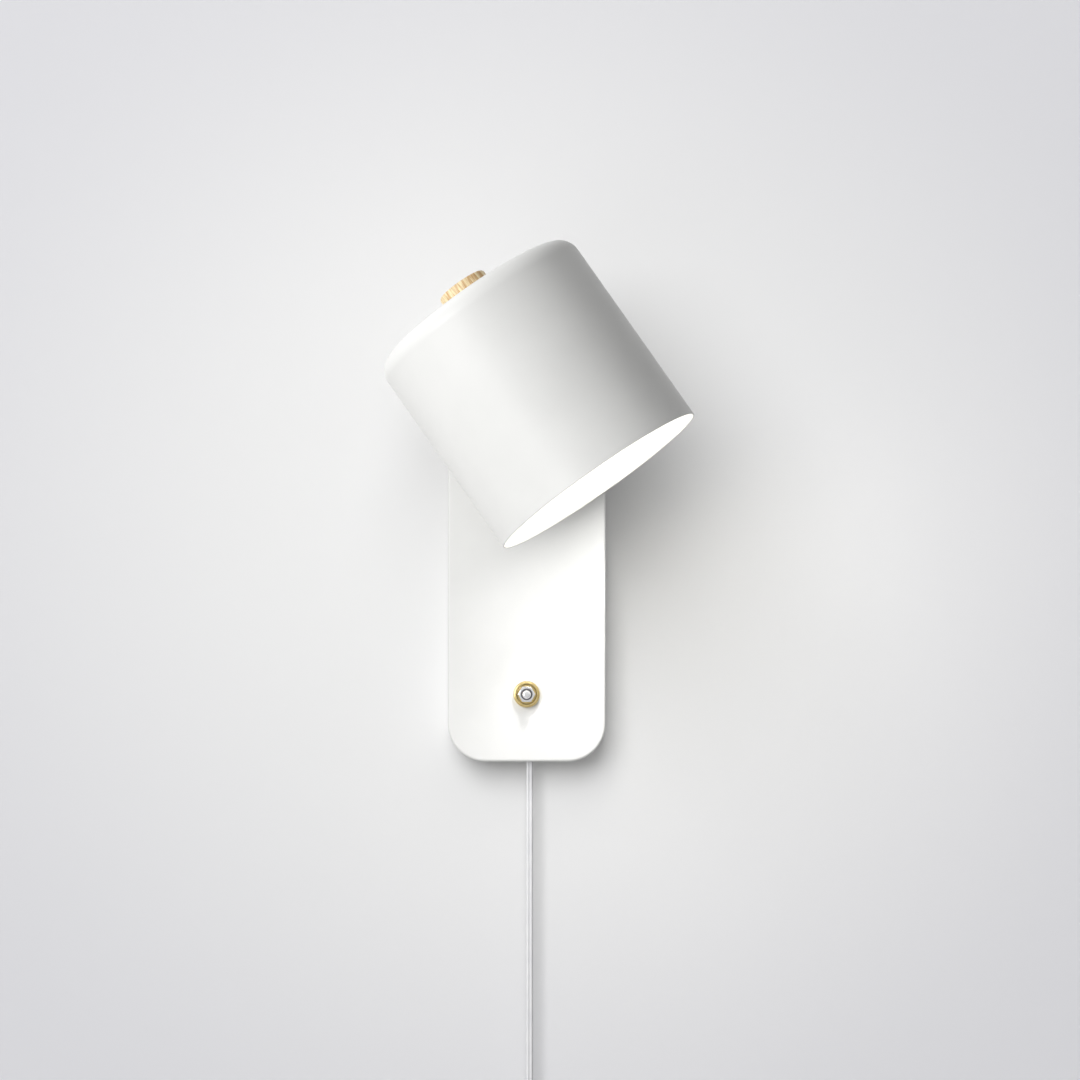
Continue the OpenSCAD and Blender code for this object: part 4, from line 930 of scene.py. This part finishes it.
def spring_line(steps=28):
    """The wire's middle line: circles that climb by one wire's thickness over the first and over the
    last turn, and evenly between them."""
    t = np.linspace(0, spring_turns, spring_turns * steps + 1)
    low = spring_low.z + spring_wire / 2
    high = spring_high.z - spring_wire / 2
    turns = [0, 1, spring_turns - 1, spring_turns]
    height = np.interp(t, turns, [low, low + spring_wire, high - spring_wire, high])
    angle = 2 * np.pi * t
    return np.column_stack([spring_radius * np.cos(angle), spring_radius * np.sin(angle), height])


spring_grid = carried(spring_line(), round_section(spring_wire, 10), (0, 0, 1))
spring = surface("return_spring", spring_grid, switch_place)
dress(spring, zinc_steel, "wall_part", ["switch_spring"])
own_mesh(spring)

# Inner pieces. Their shapes are right as the frame holds them, so they only take their finishes:
# zinc-plated steel hardware, nickel-plated screw shells, brass contacts, nylon washers, moulded white
# and black plastic, and the blue and brown insulation of the single wires.
repaint(
    zinc_steel, "wall_bracket", "swivel_washer", "swivel_spring_washer", "swivel_end_washer", "swivel_clip",
    "swivel_stop_pin", "shade_inner_plate", "holder_nipple", "block_screw", "clamp_screws",
)
repaint(nickel, "bulb_thread", "bulb_tip", "holder_thread")
repaint(brass, "cap_insert", "holder_contact", "switch_tags", "terminal_screws")
repaint(moulded_white, "holder_core", "terminal_block", "clamp_base", "clamp_bridge")
repaint(soft_white, "riser_lead")

black_oxide = finish_of("black oxide steel", tone(44, 44, 46), 0.4, Metallic=1.0)
wear(black_oxide, "Base Color", 700, 3, tone(36, 36, 38), tone(58, 58, 60))
wear(black_oxide, "Roughness", 1800, 3, 0.32, 0.5)
repaint(black_oxide, "cover_screws")

nylon = finish_of("natural nylon", tone(232, 230, 220), 0.4, Subsurface_Weight=0.1, Subsurface_Scale=0.002)
wear(nylon, "Base Color", 400, 2, tone(228, 225, 214), tone(236, 234, 226))
dents(nylon, lumps(nylon, 2400, 2), 0.00002, 0.4)
repaint(nylon, "swivel_slide_washer", "tilt_washers")

black_plastic = finish_of("moulded black plastic", tone(30, 30, 32), 0.42)
wear(black_plastic, "Base Color", 300, 2, tone(26, 26, 28), tone(38, 38, 40))
wear(black_plastic, "Roughness", 900, 3, 0.36, 0.5)
dents(black_plastic, lumps(black_plastic, 2600, 2), 0.00002, 0.5)
repaint(black_plastic, "switch_case", "bulb_insulator")

for colour_name, low, high, wire in [
    ("blue insulation", tone(46, 92, 158), tone(56, 104, 172), "mains_wires"),
    ("brown insulation", tone(96, 60, 38), tone(112, 72, 46), "switch_wire"),
]:
    insulation = finish_of(colour_name, low, 0.4)
    wear(insulation, "Base Color", 200, 2, low, high)
    dents(insulation, lumps(insulation, 1400, 3), 0.00003, 0.4)
    repaint(insulation, wire)

# Backdrop. A plain pale wall that sweeps into a floor well below the lamp. It is seen from its front
# only, so that the lamp's back can be looked at too, and it is open behind the cover, so that light
# reaches that back. For the camera its colour holds a painted pool of light, palest round the lamp.
wall_gap = 0.0002
wall_top = 3.0
wall_reach = 4.0
floor_z = -1.3
floor_front = -6.0
sweep_radius = 0.5
opening_x = cover_half_width - 0.004
opening_z = cover_half_height - 0.012


def wall_mesh(steps=13):
    """The wall's mesh: a line of upright wall, a quarter circle and floor, swept from side to side
    in three columns of faces. The middle face of its second row is left out."""
    angle = np.radians(np.linspace(0, 90, steps))
    bend_y = wall_gap - sweep_radius * (1 - np.cos(angle))
    bend_z = floor_z + sweep_radius * (1 - np.sin(angle))
    y = np.array([wall_gap] * 3 + [*bend_y, floor_front])[:, None]
    z = np.array([wall_top, opening_z, -opening_z, *bend_z, floor_z])[:, None]
    x = np.array([-wall_reach, -opening_x, opening_x, wall_reach])[None]
    points = np.stack([x + 0 * y, y + 0 * x, z + 0 * x], -1)
    corner = 4 * np.arange(len(y) - 1)[:, None] + np.arange(3)
    faces = np.stack([corner, corner + 4, corner + 5, corner + 1], -1).reshape(-1, 4)
    opening = 4
    mesh = bpy.data.meshes.new("backdrop")
    mesh.from_pydata(points.reshape(-1, 3).tolist(), [], np.delete(faces, opening, 0).tolist())
    return mesh


backdrop_mesh = wall_mesh()
backdrop_mesh.shade_smooth()
backdrop = bpy.data.objects.new("backdrop", backdrop_mesh)
scene.collection.objects.link(backdrop)
backdrop.visible_shadow = False


def ray_kinds(made):
    """Two outputs of Light Path: whether the ray comes from the camera, and whether a mirror or
    glass has passed it on."""
    path = add(made, "LightPath").outputs
    kinds = {0: path["Is Glossy Ray"], 1: path["Is Transmission Ray"]}
    passed_on = add(made, "Math", kinds, operation="MAXIMUM")
    return path["Is Camera Ray"], passed_on.outputs["Value"]


# Painted light: the camera sees the wall's colour palest near the lamp and darker from the near to the far
# reach, a painted pool of light. Other rays see a darker grey.
wall_bounce = tone(178, 178, 177)
wall_painted_light_near = tone(251, 251, 251)
wall_painted_light_far = tone(232, 232, 236)
near_reach = 0.12
far_reach = 0.5
pale_wall = finish_of("pale wall", tone(240, 240, 242), 0.9, Specular_IOR_Level=0.1)
wall_nodes = pale_wall.node_tree.nodes
spot = add(pale_wall, "TexCoord").outputs["Object"]
distance = add(pale_wall, "VectorMath", {0: spot}, operation="LENGTH").outputs["Value"]
away = add(pale_wall, "MapRange", {
    "Value": distance, "From Min": near_reach, "From Max": far_reach,
}, interpolation_type="SMOOTHSTEP").outputs["Result"]
camera_ray, mirror_ray = ray_kinds(pale_wall)
in_view = add(pale_wall, "Math", {0: camera_ray, 1: mirror_ray}, operation="MAXIMUM").outputs["Value"]
wall_painted_light = mixed(pale_wall, away, wall_painted_light_near, wall_painted_light_far)
drive(pale_wall, "Base Color", mixed(pale_wall, in_view, wall_bounce, wall_painted_light))
front_only = add(pale_wall, "MixShader", {
    0: add(pale_wall, "NewGeometry").outputs["Backfacing"],
    1: wall_nodes["Principled BSDF"].outputs[0],
    2: add(pale_wall, "BsdfTransparent").outputs[0],
})
pale_wall.node_tree.links.new(front_only.outputs[0], wall_nodes["Material Output"].inputs["Surface"])
backdrop_mesh.materials.append(pale_wall)

# Studio light. A large soft key lamp from the front left lights all but the wall and the cover, and a
# smaller one comes from behind left. The cover and the wall each have a lamp of their own, so that
# both stay pale and the shadows on them soft.
lamp_middle = Vector((0, -0.1, 0))


def soft_lamp(name, left, up, distance, size, level):
    """A square lamp, turned left and up by so many degrees, that looks at the middle of the light.
    Level is what a white surface that faces it would show, so its power is level times pi squared
    times the distance squared."""
    a, e = math.radians(left), math.radians(up)
    towards = Vector((-math.sin(a) * math.cos(e), -math.cos(a) * math.cos(e), math.sin(e)))
    lamp = bpy.data.objects.new(name, bpy.data.lights.new(name, "AREA"))
    lamp.data.size = size
    lamp.data.energy = level * math.pi**2 * distance**2
    lamp.location = lamp_middle + towards * distance
    lamp.rotation_mode = "QUATERNION"
    lamp.rotation_quaternion = towards.to_track_quat("Z", "Y")
    scene.collection.objects.link(lamp)
    return lamp


def linked(name, state, pieces):
    """A collection for a lamp. For INCLUDE, its light reaches or is stopped by these pieces alone.
    For EXCLUDE, it is every piece but these."""
    group = bpy.data.collections.new(name)
    for k, piece in enumerate(pieces):
        group.objects.link(piece)
        group.collection_objects[k].light_linking.link_state = state
    return group


key = soft_lamp("key_lamp", left=44, up=8, distance=3.0, size=1.6, level=0.82)
rim = soft_lamp("rim_lamp", left=125, up=38, distance=2.5, size=1.0, level=0.22)
cover_lamp = soft_lamp("cover_lamp", left=25, up=12, distance=3.0, size=2.0, level=0.74)
wall_lamp = soft_lamp("wall_lamp", left=16, up=26, distance=5.0, size=4.0, level=0.80)
key.light_linking.receiver_collection = linked("key_spares", "EXCLUDE", [backdrop, cover])
rim.light_linking.receiver_collection = linked("rim_spares", "EXCLUDE", [backdrop])
cover_lamp.light_linking.receiver_collection = linked("cover_lamp_lights", "INCLUDE", [cover])
wall_lamp.light_linking.receiver_collection = linked("wall_lamp_lights", "INCLUDE", [backdrop])

# Light from the mouth. Two small lamps in the shade light the cover and what is on its front: a disc
# in the mouth, turned towards the wall, and the bulb's own light, which draws the switch's shadow.
# The shade, its arm and the wood cap stop their light.
lit_pieces = [cover, cord, ring, neck, button, switch_nut]
stopping_pieces = [*lit_pieces, shade, tongue, saddle, wood_disc]
mouth_turn = Matrix.Rotation(math.radians(30), 4, "X")
mouth_power = 0.13
bulb_power = 0.72

mouth_glow = bpy.data.objects.new("mouth_glow", bpy.data.lights.new("mouth_glow", "AREA"))
mouth_glow.data.shape = "DISK"
mouth_glow.data.size = shade_radius
mouth_glow.data.energy = mouth_power
mouth_glow.matrix_world = shade_place @ mouth_turn
mouth_glow.visible_camera = False
mouth_glow.visible_glossy = False
bulb_glow = bpy.data.objects.new("bulb_glow", bpy.data.lights.new("bulb_glow", "POINT"))
bulb_glow.data.energy = bulb_power
bulb_glow.data.shadow_soft_size = globe_radius / 3
bulb_glow.location = shade_place @ Vector((0, 0, globe_centre))
for glow in (mouth_glow, bulb_glow):
    scene.collection.objects.link(glow)
    glow.light_linking.receiver_collection = linked(glow.name + "_lights", "INCLUDE", lit_pieces)
    glow.light_linking.blocker_collection = linked(glow.name + "_stops", "INCLUDE", stopping_pieces)

# Sky. An even, dim light on the lamp. The camera sees the sky pale, and metal mirrors it pale above
# and dark below, as it would mirror a room.
sky_light = 0.26
sky_seen = 0.86
sky_mirrored = 0.95
ground_mirrored = 0.2
dark_below = -0.6
pale_above = 0.3

sky = bpy.data.worlds.new("sky")
sky.use_nodes = True
scene.world = sky
camera_ray, mirror_ray = ray_kinds(sky)
towards_sky = add(sky, "TexCoord").outputs["Generated"]
upward = add(sky, "SeparateXYZ", {"Vector": towards_sky}).outputs["Z"]
mirror_tone = add(sky, "MapRange", {
    "Value": upward, "From Min": dark_below, "From Max": pale_above,
    "To Min": ground_mirrored, "To Max": sky_mirrored,
}, interpolation_type="SMOOTHSTEP").outputs["Result"]
unseen = add(sky, "Mix", {0: mirror_ray, 2: sky_light, 3: mirror_tone}).outputs[0]
strength = add(sky, "Mix", {0: camera_ray, 2: unseen, 3: sky_seen}).outputs[0]
background = sky.node_tree.nodes["Background"]
background.inputs["Color"].default_value = (1, 1, 1, 1)
sky.node_tree.links.new(strength, background.inputs["Strength"])
scene.view_settings.view_transform = "Standard"
